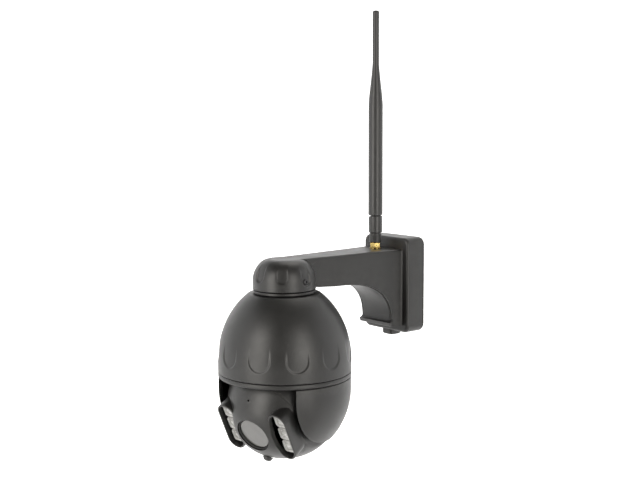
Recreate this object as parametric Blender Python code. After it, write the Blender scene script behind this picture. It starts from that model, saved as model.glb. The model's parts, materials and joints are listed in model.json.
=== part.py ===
"""Wall-mounted pan and tilt security camera with a whip antenna.

Metres, +Z up. The wall is the plane y = 0 and the camera stands out along -Y. The origin is the
centre of the wall face. Dome parts are modelled in the dome frame, whose Z axis is the pan axis,
and head parts in the head frame, which looks along its own -Y with the tilt axis along X.
"""
import math

import bmesh
import bpy
from mathutils import Matrix, Vector

MM = 0.001
GAP = 0.3 * MM                       # air between pieces that touch

# Wall box and its steel plate
BOX_WIDTH, BOX_HEIGHT, BOX_FRONT = 54.2 * MM, 80.6 * MM, 19.7 * MM
BOX_REAR = 1.8 * MM
BOX_WALL = 2.4 * MM
BOX_CORNER = 6.0 * MM
PLATE_THICKNESS = 1.6 * MM
PLATE_WIDTH, PLATE_HEIGHT = 46.0 * MM, 72.0 * MM
PLATE_HOLE_X, PLATE_HOLE_Z, PLATE_HOLE_RADIUS = 16.0 * MM, 26.0 * MM, 2.3 * MM
CABLE_HOLE_RADIUS = 8.0 * MM
CABLE_HOLE_Z = -14.0 * MM
LUG_FRONT, LUG_REAR, LUG_BOTTOM = 18.2 * MM, 6.2 * MM, 44.8 * MM
LUG_HALF_WIDTH = 6.3 * MM
LOCK_SCREW_Y = -12.2 * MM
ROOT_SCREW_HEIGHTS = (22.0 * MM, -20.0 * MM)
CABLE_PORT_Z, CABLE_PORT_RADIUS = 6.0 * MM, 6.0 * MM

# Arm and neck
PAN_AXIS_Y = -130.0 * MM
NECK_SEAM = 6.95 * MM
ARM_TOP = 30.65 * MM
ARM_WALL = 2.6 * MM
ARM_REAR = BOX_FRONT + GAP
ARM_TIP_HALF_WIDTH, ARM_ROOT_HALF_WIDTH = 11.6 * MM, 19.0 * MM
ARM_FLARE, ARM_FLARE_LENGTH = 2.6 * MM, 22.0 * MM
ARM_EDGE = 2.0 * MM                  # rounding along the upper edges
UNDERSIDE_TOP, UNDERSIDE_FOOT = 5.8 * MM, -34.0 * MM
UNDERSIDE_START, UNDERSIDE_END = -86.0 * MM, -29.0 * MM
UNDERSIDE_POWER = 2.7
NECK_EDGE_Y = -104.6 * MM
NECK_RADIUS = 25.2 * MM
NECK_SCREW_ANGLES = (-96.0, 96.0)
NECK_SCREW_Z = 14.5 * MM
NECK_SCREW_SEAT = 24.0 * MM          # distance of the screw head's underside from the pan axis
COVER_SCREW_Y = -78.0 * MM
COVER_THICKNESS = 2.4 * MM
COVER_FOOT = -31.2 * MM
HUB_FLANGE_LOW, HUB_FLANGE_HIGH = 7.3 * MM, 9.8 * MM

# Antenna
ANTENNA_Y = -31.6 * MM
ANTENNA_TOP = 229.2 * MM
STUD_RADIUS, STUD_TOP = 3.1 * MM, 41.0 * MM
STUD_HEAD_RADIUS, STUD_HEAD_BOTTOM, STUD_HEAD_TOP = 4.6 * MM, 25.0 * MM, 27.7 * MM
ANTENNA_NUT_RADIUS = 4.6 * MM
WASHER_RADIUS, WASHER_THICKNESS = 4.9 * MM, 0.5 * MM
COLLAR_RADIUS, COLLAR_BOTTOM, COLLAR_TOP = 5.1 * MM, 36.1 * MM, 44.2 * MM
COLLAR_EDGE = 0.5 * MM
KNUCKLE_BOTTOM, KNUCKLE_PIN = 44.5 * MM, 52.7 * MM
KNUCKLE_RADIUS = 5.8 * MM
PIN_RADIUS, PIN_BORE = 1.0 * MM, 1.4 * MM
TONGUE_RADIUS = 3.8 * MM
WHIP_RADIUS, WHIP_TIP_RADIUS = 6.0 * MM, 2.75 * MM
WHIP_TAPER_DROP, WHIP_TIP_DROP = 78.0 * MM, 43.0 * MM    # below the whip's top
FORK_SLOT = 5.0 * MM

# Dome
PAN_REST = math.radians(13.4)        # the dome is stored turned this far to the camera's left
DOME_RADIUS = 53.4 * MM
DOME_WALL = 2.4 * MM
UPPER_CENTRE, UPPER_HEIGHT = -50.35 * MM, 63.8 * MM
UPPER_TOP, UPPER_BOTTOM = 3.5 * MM, -58.85 * MM
BEAD_TOP, BEAD_BOTTOM = -59.15 * MM, -63.05 * MM
LOWER_TOP, LOWER_CENTRE, LOWER_HEIGHT = -63.35 * MM, -72.35 * MM, 58.0 * MM
LOWER_RIM = -112.0 * MM
OPENING_HALF_WIDTH = 40.0 * MM
CHASSIS_TOP, CHASSIS_BOTTOM = -32.5 * MM, -34.5 * MM
CHASSIS_RADIUS = 46.6 * MM
CHASSIS_SCREW_Y = 42.0 * MM

# Pan drive: the dome carries the motor, whose pinion rolls round a gear fixed to the neck
HUB_RADIUS, HUB_BORE = 9.0 * MM, 6.5 * MM
GEAR_MODULE = 1.0 * MM
FIXED_GEAR_TEETH, PAN_PINION_TEETH = 32, 10
FIXED_GEAR_TOP, FIXED_GEAR_BOTTOM = -8.0 * MM, -12.0 * MM
PAN_MOTOR_DISTANCE = (FIXED_GEAR_TEETH + PAN_PINION_TEETH) * GEAR_MODULE / 2
PAN_MOTOR_RADIUS, PAN_MOTOR_TOP, PAN_SHAFT_TOP = 11.0 * MM, -18.5 * MM, -8.5 * MM
MOTOR_SHAFT_RADIUS = 1.2 * MM

# Head and tilt drive
TILT_REST = math.radians(25.8)       # the head is stored looking this far down
TILT_Z = -84.15 * MM
HEAD_RADIUS, HEAD_WALL = 46.2 * MM, 2.2 * MM
HEAD_HALF_WIDTH = 35.5 * MM
HEAD_PARTING = 26.4 * MM
HEAD_SCREW_HEIGHTS = (16.0 * MM, -16.0 * MM)
HEAD_SCREW_DEPTH = 1.9 * MM          # how far the screw heads sit below the ball's surface
TRUNNION_RADIUS = 3.5 * MM
LENS_BORE = 14.8 * MM
WINDOW_RADIUS, WINDOW_FRONT = 13.3 * MM, 42.9 * MM
POD_CENTRE, POD_FRONT = 27.0 * MM, 41.0 * MM
POD_HALF_WIDTH, POD_HALF_LENGTH = 7.0 * MM, 21.6 * MM
POD_RIM = 1.4 * MM
LED_PITCH = 12.2 * MM
LED_BACK, LED_BOARD_THICKNESS = 31.2 * MM, 1.4 * MM
LED_STEPS = ((0.0, 4.6 * MM), (1.9 * MM, 5.2 * MM), (3.2 * MM, 4.6 * MM), (3.8 * MM, 3.0 * MM))
SENSOR_LEAN = math.radians(36.0)     # the light sensor sits this far below the optical axis
SENSOR_RADIUS, SENSOR_HEIGHT = 4.2 * MM, 3.4 * MM
YOKE_INNER, YOKE_THICKNESS = 38.3 * MM, 2.5 * MM
YOKE_HALF_WIDTH = 12.0 * MM
BELT_INNER, BELT_OUTER = 35.9 * MM, 37.9 * MM
TILT_PULLEY_RADIUS, MOTOR_PULLEY_RADIUS = 12.5 * MM, 5.0 * MM
BELT_THICKNESS = 1.2 * MM
TILT_MOTOR_Z = -21.5 * MM
TILT_MOTOR_RADIUS, TILT_MOTOR_REAR, TILT_MOTOR_FRONT = 10.0 * MM, 17.0 * MM, 33.0 * MM
BUSH_RADIUS, BUSH_FLANGE_RADIUS = 5.0 * MM, 7.0 * MM

COLOURS = {
    "body_plastic": ((0.030, 0.030, 0.029), 0.45, 0.0),
    "antenna_plastic": ((0.022, 0.022, 0.023), 0.50, 0.0),
    "black_rubber": ((0.015, 0.015, 0.015), 0.80, 0.0),
    "steel": ((0.55, 0.55, 0.56), 0.35, 1.0),
    "dark_screw": ((0.06, 0.06, 0.06), 0.40, 1.0),
    "brass": ((0.75, 0.55, 0.22), 0.30, 1.0),
    "window_glass": ((0.42, 0.41, 0.39), 0.10, 0.0),
    "led_lens": ((0.80, 0.80, 0.78), 0.15, 0.0),
    "board_green": ((0.03, 0.18, 0.08), 0.50, 0.0),
    "gear_plastic": ((0.85, 0.84, 0.80), 0.45, 0.0),
    "inner_plastic": ((0.06, 0.06, 0.06), 0.55, 0.0),
}


# ---------------------------------------------------------------- tools for building meshes

def clear_scene():
    for item in list(bpy.data.objects):
        bpy.data.objects.remove(item, do_unlink=True)


def make_material(name):
    colour, roughness, metallic = COLOURS[name]
    material = bpy.data.materials.new(name)
    material.use_nodes = True
    shader = material.node_tree.nodes["Principled BSDF"]
    shader.inputs["Base Color"].default_value = (*colour, 1.0)
    shader.inputs["Roughness"].default_value = roughness
    shader.inputs["Metallic"].default_value = metallic
    return material


def make_empty(name, location, rotation=(0, 0, 0), parent=None):
    empty = bpy.data.objects.new(name, None)
    bpy.context.collection.objects.link(empty)
    empty.location = location
    empty.rotation_euler = rotation
    empty.parent = parent
    return empty


def add_part(name, bm, material, parent=None, location=(0, 0, 0), rotation=(0, 0, 0)):
    """Turn a bmesh into a named object, with its faces turned out and its round sides smooth."""
    bmesh.ops.remove_doubles(bm, verts=bm.verts, dist=1e-6)
    bmesh.ops.recalc_face_normals(bm, faces=bm.faces)
    mesh = bpy.data.meshes.new(name)
    bm.to_mesh(mesh)
    bm.free()
    mesh.materials.append(MATERIALS[material])
    mesh.shade_smooth()
    mesh.set_sharp_from_angle(angle=math.radians(35))
    part = bpy.data.objects.new(name, mesh)
    bpy.context.collection.objects.link(part)
    part.location = location
    part.rotation_euler = rotation
    part.parent = parent
    return part


def combine(part, bm, operation):
    """Cut a bmesh from a part, add it or keep their common volume, in the part's own frame."""
    tool = add_part("tool", bm, "steel", part.parent, part.location, part.rotation_euler)
    step = part.modifiers.new("combine", "BOOLEAN")
    step.operation = operation
    step.solver = "EXACT"
    step.object = tool
    bpy.context.view_layer.update()
    result = bpy.data.meshes.new_from_object(part.evaluated_get(bpy.context.evaluated_depsgraph_get()))
    part.modifiers.remove(step)
    old = part.data
    part.data = result
    result.name = part.name
    bpy.data.meshes.remove(old)
    bpy.data.objects.remove(tool, do_unlink=True)
    result.shade_smooth()
    result.set_sharp_from_angle(angle=math.radians(35))
    return part


def cut(part, bm):
    return combine(part, bm, "DIFFERENCE")


def join(part, bm):
    return combine(part, bm, "UNION")


def placed(bm, matrix):
    bmesh.ops.transform(bm, matrix=matrix, verts=bm.verts)
    return bm


def moved(bm, x, y, z):
    return placed(bm, Matrix.Translation((x, y, z)))


ALONG_X = Matrix.Rotation(math.pi / 2, 4, "Y")      # turns +Z to +X
ALONG_Y_FORWARD = Matrix.Rotation(math.pi / 2, 4, "X")   # turns +Z to -Y


def lathe(profile, segments):
    """Spin a closed (radius, height) outline once round Z."""
    bm = bmesh.new()
    points = [bm.verts.new((radius, 0, height)) for radius, height in profile]
    edges = []
    for index, point in enumerate(points):
        following = points[(index + 1) % len(points)]
        if point.co.x > 0 or following.co.x > 0:
            edges.append(bm.edges.new((point, following)))
    bmesh.ops.spin(bm, geom=points + edges, cent=(0, 0, 0), axis=(0, 0, 1),
                   angle=2 * math.pi, steps=segments, use_merge=True)
    bmesh.ops.remove_doubles(bm, verts=bm.verts, dist=1e-6)
    return bm


def disc(radius, low, high, segments):
    return lathe([(0, low), (radius, low), (radius, high), (0, high)], segments)


def ring(inner, outer, low, high, segments):
    return lathe([(inner, low), (outer, low), (outer, high), (inner, high)], segments)


def prism(outline, low, high):
    """Extrude a closed (x, y) outline along Z."""
    bm = bmesh.new()
    face = bm.faces.new([bm.verts.new((x, y, low)) for x, y in outline])
    raised = bmesh.ops.extrude_face_region(bm, geom=[face])["geom"]
    lifted = [item for item in raised if isinstance(item, bmesh.types.BMVert)]
    bmesh.ops.translate(bm, vec=(0, 0, high - low), verts=lifted)
    return bm


def block(low, high):
    """A box between two corners."""
    bm = bmesh.new()
    size = Vector(high) - Vector(low)
    middle = (Vector(high) + Vector(low)) / 2
    bmesh.ops.create_cube(bm, size=1, matrix=Matrix.Translation(middle) @ Matrix.Diagonal((*size, 1)))
    return bm


def stadium(half_width, half_length, steps):
    """A capsule outline, long along its second axis."""
    straight = half_length - half_width
    outline = []
    for side in (1, -1):
        for step in range(steps + 1):
            angle = math.pi * step / steps
            outline.append((side * half_width * math.cos(angle),
                            side * (straight + half_width * math.sin(angle))))
    return outline


def rounded_rectangle(width, height, corner, steps):
    outline = []
    for quarter in range(4):
        middle_x = (width / 2 - corner) * (1 if quarter in (0, 3) else -1)
        middle_y = (height / 2 - corner) * (1 if quarter in (0, 1) else -1)
        for step in range(steps + 1):
            angle = math.pi / 2 * (quarter + step / steps)
            outline.append((middle_x + corner * math.cos(angle), middle_y + corner * math.sin(angle)))
    return outline


def polygon(radius, sides, turn=0.0):
    return [(radius * math.cos(turn + 2 * math.pi * side / sides),
             radius * math.sin(turn + 2 * math.pi * side / sides)) for side in range(sides)]


def gear_outline(teeth, module, turn=0.0):
    """Straight-flanked teeth with running backlash, the first tooth at angle turn."""
    pitch_radius = teeth * module / 2
    tip, root = pitch_radius + 0.8 * module, pitch_radius - 1.1 * module
    pitch_angle = 2 * math.pi / teeth
    outline = []
    for tooth in range(teeth):
        middle = turn + tooth * pitch_angle
        for radius, share in ((root, -0.25), (tip, -0.10), (tip, 0.10), (root, 0.25)):
            angle = middle + share * pitch_angle
            outline.append((radius * math.cos(angle), radius * math.sin(angle)))
    return outline


def loft(sections):
    """Skin a row of closed sections with the same number of points, and cap both ends."""
    bm = bmesh.new()
    rows = [[bm.verts.new(point) for point in section] for section in sections]
    count = len(rows[0])
    for near, far in zip(rows, rows[1:]):
        for index in range(count):
            after = (index + 1) % count
            bm.faces.new((near[index], near[after], far[after], far[index]))
    bm.faces.new(rows[0])
    bm.faces.new(reversed(rows[-1]))
    return bm


def screw(head_radius, head_height, shank_radius, length, socket=0.9):
    """A pan-head screw along Z, head up, its seat at z = 0, with a hexagon socket."""
    bm = lathe([(0, -length), (shank_radius * 0.7, -length), (shank_radius, -length * 0.9),
                (shank_radius, 0), (head_radius, 0), (head_radius, head_height * 0.6),
                (head_radius * 0.75, head_height), (0, head_height)], 10)
    return bm, prism(polygon(head_radius * 0.5, 6), head_height * (1 - 0.6 * socket), head_height * 2)


def add_screw(name, size, material, parent=None, location=(0, 0, 0), rotation=(0, 0, 0)):
    solid, socket = screw(*size)
    part = add_part(name, solid, material, parent, location, rotation)
    return cut(part, socket)


# ---------------------------------------------------------------- wall box and plate

def make_wall_plate():
    """Steel plate screwed to the wall, with two hooks for the box and a tab for the lock screw."""
    outline = rounded_rectangle(PLATE_WIDTH, PLATE_HEIGHT, 5 * MM, 3)
    plate = add_part("wall_plate", placed(prism(outline, 0, PLATE_THICKNESS), ALONG_Y_FORWARD), "steel")
    for x in (-PLATE_HOLE_X, PLATE_HOLE_X):
        for z in (-PLATE_HOLE_Z, PLATE_HOLE_Z):
            hole = placed(disc(PLATE_HOLE_RADIUS, -MM, PLATE_THICKNESS + MM, 10), ALONG_Y_FORWARD)
            cut(plate, moved(hole, x, 0, z))
    hole = placed(disc(CABLE_HOLE_RADIUS, -MM, PLATE_THICKNESS + MM, 16), ALONG_Y_FORWARD)
    cut(plate, moved(hole, 0, 0, CABLE_HOLE_Z))
    for side in (-1, 1):
        left, right = sorted((side * 6 * MM, side * 13 * MM))
        hook = block((left, -7 * MM, 28 * MM), (right, -0.8 * MM, 29.6 * MM))
        join(plate, hook)
        lip = block((left, -7 * MM, 28.4 * MM), (right, -5.4 * MM, 32.6 * MM))
        join(plate, lip)
    tab = block((-6 * MM, -15.5 * MM, -35.9 * MM), (6 * MM, -0.8 * MM, -34.3 * MM))
    join(plate, tab)
    screw_hole = moved(disc(1.9 * MM, -2 * MM, 2 * MM, 12), 0, LOCK_SCREW_Y, -35.1 * MM)
    cut(plate, screw_hole)
    return plate


def make_wall_gasket():
    """Foam strip that seals the box to the wall round the plate."""
    outer = prism(rounded_rectangle(BOX_WIDTH - MM, BOX_HEIGHT - MM, BOX_CORNER, 4), 0, BOX_REAR - GAP)
    gasket = add_part("wall_gasket", placed(outer, ALONG_Y_FORWARD), "black_rubber")
    inner = prism(rounded_rectangle(49.0 * MM, 75.0 * MM, 5 * MM, 4), -MM, 3 * MM)
    return cut(gasket, placed(inner, ALONG_Y_FORWARD))


def make_wall_box():
    """Moulded box, open to the wall, with rounded front edges, hanging ribs and the lock lug."""
    steps = ((BOX_REAR, 0.0), (BOX_FRONT - 2.4 * MM, 0.2 * MM), (BOX_FRONT - 0.8 * MM, 0.8 * MM),
             (BOX_FRONT, 2.2 * MM))
    sections = []
    for depth, inset in steps:
        outline = rounded_rectangle(BOX_WIDTH - 2 * inset, BOX_HEIGHT - 2 * inset, BOX_CORNER, 5)
        sections.append([(x, -depth, z) for x, z in outline])
    box = add_part("wall_box", loft(sections), "body_plastic")
    inner_width, inner_height = BOX_WIDTH - 2 * BOX_WALL, BOX_HEIGHT - 2 * BOX_WALL
    inner = prism(rounded_rectangle(inner_width, inner_height, 4 * MM, 4), 0, BOX_FRONT - BOX_WALL)
    cut(box, placed(inner, ALONG_Y_FORWARD))
    for side in (-1, 1):
        left, right = sorted((side * 5.5 * MM, side * 13.5 * MM))
        rib = block((left, -5.1 * MM, 29.9 * MM), (right, -2.2 * MM, BOX_HEIGHT / 2 - MM))
        join(box, rib)
    lug = block((-LUG_HALF_WIDTH, -LUG_FRONT, -LUG_BOTTOM),
                (LUG_HALF_WIDTH, -LUG_REAR, -BOX_HEIGHT / 2 + MM))
    upright = [edge for edge in lug.edges if abs(edge.verts[0].co.z - edge.verts[1].co.z) > MM]
    bmesh.ops.bevel(lug, geom=upright, offset=1.5 * MM, segments=3, affect="EDGES")
    join(box, lug)
    cut(box, moved(disc(1.9 * MM, -50 * MM, -36 * MM, 10), 0, LOCK_SCREW_Y, 0))
    cut(box, moved(disc(3.4 * MM, -50 * MM, -LUG_BOTTOM + 3 * MM, 12), 0, LOCK_SCREW_Y, 0))
    port = placed(disc(CABLE_PORT_RADIUS, 15 * MM, 22 * MM, 16), ALONG_Y_FORWARD)
    cut(box, moved(port, 0, 0, CABLE_PORT_Z))
    for z in ROOT_SCREW_HEIGHTS:
        hole = placed(disc(1.9 * MM, 15 * MM, 22 * MM, 12), ALONG_Y_FORWARD)
        cut(box, moved(hole, 0, 0, z))
    return box


def make_box_fasteners():
    add_screw("lock_screw", (2.9 * MM, 2.2 * MM, 1.5 * MM, 8.5 * MM), "dark_screw",
              location=(0, LOCK_SCREW_Y, -LUG_BOTTOM + 2.7 * MM), rotation=(math.pi, 0, 0))
    for name, z in zip(("root_screw_upper", "root_screw_lower"), ROOT_SCREW_HEIGHTS):
        add_screw(name, (3.2 * MM, 2.2 * MM, 1.5 * MM, 9.0 * MM), "steel",
                  location=(0, -BOX_FRONT + BOX_WALL + GAP, z), rotation=(-math.pi / 2, 0, 0))
    outline = [(3.2 * MM, 16.2 * MM), (8.0 * MM, 16.2 * MM), (8.0 * MM, 17.0 * MM), (5.6 * MM, 17.0 * MM),
               (5.6 * MM, 20.2 * MM), (3.2 * MM, 20.2 * MM)]
    grommet = moved(placed(lathe(outline, 16), ALONG_Y_FORWARD), 0, 0, CABLE_PORT_Z)
    add_part("cable_grommet", grommet, "black_rubber")


# ---------------------------------------------------------------- arm with its neck cap

def arm_half_width(y):
    """Half the arm's width: a straight taper, with a flare where it meets the wall box."""
    along = (y - PAN_AXIS_Y) / (-ARM_REAR - PAN_AXIS_Y)
    width = ARM_TIP_HALF_WIDTH + (ARM_ROOT_HALF_WIDTH - ARM_TIP_HALF_WIDTH) * along
    flare = max(0.0, 1 - (-ARM_REAR - y) / ARM_FLARE_LENGTH)
    return width + ARM_FLARE * flare ** 2


def underside_height(y):
    """Height of the arm's lower face: a slight fall from the neck, then part of a superellipse."""
    if y <= UNDERSIDE_START:
        share = max(0.0, (UNDERSIDE_START - y) / (UNDERSIDE_START - NECK_EDGE_Y))
        return UNDERSIDE_TOP + (NECK_SEAM - UNDERSIDE_TOP) * min(1.0, share)
    share = min(1.0, (y - UNDERSIDE_START) / (UNDERSIDE_END - UNDERSIDE_START))
    rise = (1 - share ** UNDERSIDE_POWER) ** (1 / UNDERSIDE_POWER)
    return UNDERSIDE_FOOT + (UNDERSIDE_TOP - UNDERSIDE_FOOT) * rise


def underside_points(count):
    """Evenly spread (y, z) points down the curved part of the underside."""
    points = []
    for step in range(count + 1):
        angle = math.pi / 2 * step / count
        share = math.sin(angle) ** (2 / UNDERSIDE_POWER)
        y = UNDERSIDE_START + (UNDERSIDE_END - UNDERSIDE_START) * share
        points.append((y, underside_height(y)))
    return points


def arm_section(y, floor, inset, top_drop, edge):
    """One closed section of the arm at depth y, between its floor and its top."""
    half = arm_half_width(y) - inset
    top = ARM_TOP - top_drop
    right = [(half, floor)]
    for step in range(4):
        angle = math.pi / 2 * step / 3
        right.append((half - edge + edge * math.cos(angle), top - edge + edge * math.sin(angle)))
    left = [(-x, z) for x, z in reversed(right)]
    return [(x, y, z) for x, z in right + left]


def arm_stations():
    stations = [(PAN_AXIS_Y, NECK_SEAM), (NECK_EDGE_Y, NECK_SEAM)]
    stations += underside_points(8)
    stations += [(-24.5 * MM, UNDERSIDE_FOOT), (-ARM_REAR, UNDERSIDE_FOOT)]
    return stations


def neck_profile():
    """Outside of the neck cap from its lower rim to its flat top, as (radius, height)."""
    shoulder = 14.0 * MM
    points = [(NECK_RADIUS, NECK_SEAM)]
    for step in range(7):
        angle = math.pi / 2 * step / 6
        radius = 11.0 * MM + (NECK_RADIUS - 11.0 * MM) * math.cos(angle) ** 0.9
        points.append((radius, shoulder + (ARM_TOP - shoulder) * math.sin(angle) ** 1.15))
    return points


def make_bracket_arm():
    """Hollow arm, open underneath, in one piece with the neck cap and a closed foot."""
    sections = [arm_section(y, floor, 0, 0, ARM_EDGE) for y, floor in arm_stations()]
    arm = add_part("bracket_arm", loft(sections), "body_plastic")
    cap = lathe(neck_profile() + [(0, ARM_TOP), (0, NECK_SEAM)], 32)
    join(arm, moved(cap, 0, PAN_AXIS_Y, 0))
    hollow = []
    for y in (-124 * MM, -60 * MM, -42 * MM, -32 * MM, -22.4 * MM):
        hollow.append(arm_section(y, -31.6 * MM, ARM_WALL, ARM_WALL, MM))
    cut(arm, loft(hollow))
    below = [(y, -60 * MM) for y in (-104 * MM, -60 * MM, -42 * MM, -29.4 * MM)]
    cut(arm, loft([arm_section(y, floor, ARM_WALL, 30 * MM, MM) for y, floor in below]))
    inside = lathe([(0, NECK_SEAM - MM), (22.6 * MM, NECK_SEAM - MM), (22.6 * MM, 15 * MM),
                    (19.0 * MM, 21 * MM), (10 * MM, 28 * MM), (0, 28 * MM)], 24)
    cut(arm, moved(inside, 0, PAN_AXIS_Y, 0))
    for z in ROOT_SCREW_HEIGHTS:
        boss = moved(placed(disc(4.0 * MM, 21 * MM, 27 * MM, 12), ALONG_Y_FORWARD), 0, 0, z)
        join(arm, boss)
        pilot = moved(placed(disc(1.85 * MM, 19 * MM, 26.5 * MM, 10), ALONG_Y_FORWARD), 0, 0, z)
        cut(arm, pilot)
    port = placed(disc(CABLE_PORT_RADIUS, 19 * MM, 24 * MM, 16), ALONG_Y_FORWARD)
    cut(arm, moved(port, 0, 0, CABLE_PORT_Z))
    cut(arm, moved(disc(3.5 * MM, ARM_TOP - 4 * MM, ARM_TOP + MM, 16), 0, ANTENNA_Y, 0))
    for angle in NECK_SCREW_ANGLES:
        cut(arm, neck_screw_place(disc(1.9 * MM, 15 * MM, 40 * MM, 10), angle))
        cut(arm, neck_screw_place(disc(3.4 * MM, NECK_SCREW_SEAT - GAP, 40 * MM, 12), angle))
    cover_post = moved(disc(3.6 * MM, 9.5 * MM, ARM_TOP - MM, 12), 0, COVER_SCREW_Y, 0)
    join(arm, cover_post)
    cut(arm, moved(disc(1.65 * MM, 5 * MM, 19 * MM, 10), 0, COVER_SCREW_Y, 0))
    return arm


def neck_screw_place(bm, angle):
    """Lay a shape along the radial line of a neck screw, its Z pointing outwards."""
    turned = placed(bm, ALONG_Y_FORWARD)
    placed(turned, Matrix.Rotation(math.radians(angle), 4, "Z"))
    return moved(turned, 0, PAN_AXIS_Y, NECK_SCREW_Z)


def make_arm_cover():
    """Curved strip that closes the arm from below, between its side walls."""
    front = NECK_EDGE_Y + MM
    outer = [(front, underside_height(front))] + underside_points(10)
    outer[-1] = (UNDERSIDE_END, COVER_FOOT)
    sections = []
    for index, (y, z) in enumerate(outer):
        before = Vector(outer[max(0, index - 1)])
        after = Vector(outer[min(len(outer) - 1, index + 1)])
        along = (after - before).normalized()
        inner_y, inner_z = y - along.y * COVER_THICKNESS, z + along.x * COVER_THICKNESS
        inner_z = max(inner_z, COVER_FOOT)
        half = arm_half_width(y) - ARM_WALL - GAP
        sections.append([(half, y, z), (-half, y, z),
                         (-half, inner_y, inner_z), (half, inner_y, inner_z)])
    cover = add_part("arm_cover", loft(sections), "body_plastic")
    return cut(cover, moved(disc(1.9 * MM, 0, 12 * MM, 10), 0, COVER_SCREW_Y, 0))


def make_arm_fasteners():
    add_screw("cover_screw", (2.8 * MM, 1.6 * MM, 1.3 * MM, 9.0 * MM), "dark_screw",
              location=(0, COVER_SCREW_Y, UNDERSIDE_TOP - GAP), rotation=(math.pi, 0, 0))
    for name, angle in zip(("neck_screw_left", "neck_screw_right"), NECK_SCREW_ANGLES):
        solid, socket = screw(2.9 * MM, 1.1 * MM, 1.5 * MM, 4.0 * MM)
        solid_in_place = neck_screw_place(moved(solid, 0, 0, NECK_SCREW_SEAT), angle)
        part = add_part(name, solid_in_place, "dark_screw")
        cut(part, neck_screw_place(moved(socket, 0, 0, NECK_SCREW_SEAT), angle))


# ---------------------------------------------------------------- pan bearing and fixed gear

def make_hub():
    """Flanged tube fixed in the neck cap. The dome hangs from it and its cables pass through it."""
    profile = [(HUB_BORE, -17.5 * MM), (HUB_RADIUS, -17.5 * MM), (HUB_RADIUS, HUB_FLANGE_LOW),
               (22.2 * MM, HUB_FLANGE_LOW), (22.2 * MM, 15 * MM), (19.2 * MM, 17.5 * MM),
               (19.2 * MM, HUB_FLANGE_HIGH), (HUB_BORE, HUB_FLANGE_HIGH)]
    hub = add_part("pan_hub", moved(lathe(profile, 24), 0, PAN_AXIS_Y, 0), "inner_plastic")
    for angle in NECK_SCREW_ANGLES:
        cut(hub, neck_screw_place(disc(1.85 * MM, 18 * MM, 24 * MM, 10), angle))
    return hub


def make_fixed_gear():
    """Gear keyed to the hub, with a tooth space facing the pinion, and the nut that holds it."""
    pinion_angle = math.pi / 2 + PAN_REST
    phase = pinion_angle + math.pi / FIXED_GEAR_TEETH
    solid = prism(gear_outline(FIXED_GEAR_TEETH, GEAR_MODULE, phase), FIXED_GEAR_BOTTOM, FIXED_GEAR_TOP)
    gear = add_part("fixed_pan_gear", moved(solid, 0, PAN_AXIS_Y, 0), "gear_plastic")
    cut(gear, moved(disc(HUB_RADIUS + GAP, -20 * MM, 0, 20), 0, PAN_AXIS_Y, 0))
    nut = add_part("hub_nut", moved(prism(polygon(12.5 * MM, 6), -16.5 * MM, -12.3 * MM), 0, PAN_AXIS_Y, 0),
                   "steel")
    cut(nut, moved(disc(HUB_RADIUS + GAP, -20 * MM, 0, 20), 0, PAN_AXIS_Y, 0))


# ---------------------------------------------------------------- antenna

def make_antenna():
    """Threaded bulkhead, nut and coupling on the arm, then a fork that swivels and the whip."""
    bulkhead = [(0, STUD_HEAD_BOTTOM), (STUD_HEAD_RADIUS, STUD_HEAD_BOTTOM),
                (STUD_HEAD_RADIUS, STUD_HEAD_TOP), (STUD_RADIUS, STUD_HEAD_TOP),
                (STUD_RADIUS, STUD_TOP), (0, STUD_TOP)]
    add_part("antenna_bulkhead", moved(lathe(bulkhead, 14), 0, ANTENNA_Y, 0), "brass")
    washer_top = ARM_TOP + GAP + WASHER_THICKNESS
    bore = STUD_RADIUS + GAP
    washer = ring(bore, WASHER_RADIUS, ARM_TOP + GAP, washer_top, 16)
    add_part("antenna_washer", moved(washer, 0, ANTENNA_Y, 0), "brass")
    nut = prism(polygon(ANTENNA_NUT_RADIUS, 6), washer_top + GAP, COLLAR_BOTTOM - GAP)
    nut_part = add_part("antenna_nut", moved(nut, 0, ANTENNA_Y, 0), "brass")
    cut(nut_part, moved(disc(bore, ARM_TOP, STUD_TOP, 14), 0, ANTENNA_Y, 0))
    bore_top = STUD_TOP + GAP
    edge = COLLAR_RADIUS - COLLAR_EDGE
    collar = lathe([(0, bore_top), (bore, bore_top), (bore, COLLAR_BOTTOM), (edge, COLLAR_BOTTOM),
                    (COLLAR_RADIUS, COLLAR_BOTTOM + COLLAR_EDGE), (COLLAR_RADIUS, COLLAR_TOP - COLLAR_EDGE),
                    (edge, COLLAR_TOP), (0, COLLAR_TOP)], 18)
    add_part("antenna_collar", moved(collar, 0, ANTENNA_Y, 0), "antenna_plastic")

    base = make_empty("antenna_frame", (0, ANTENNA_Y, 0))
    make_knuckle(base)
    make_whip(base)


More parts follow.
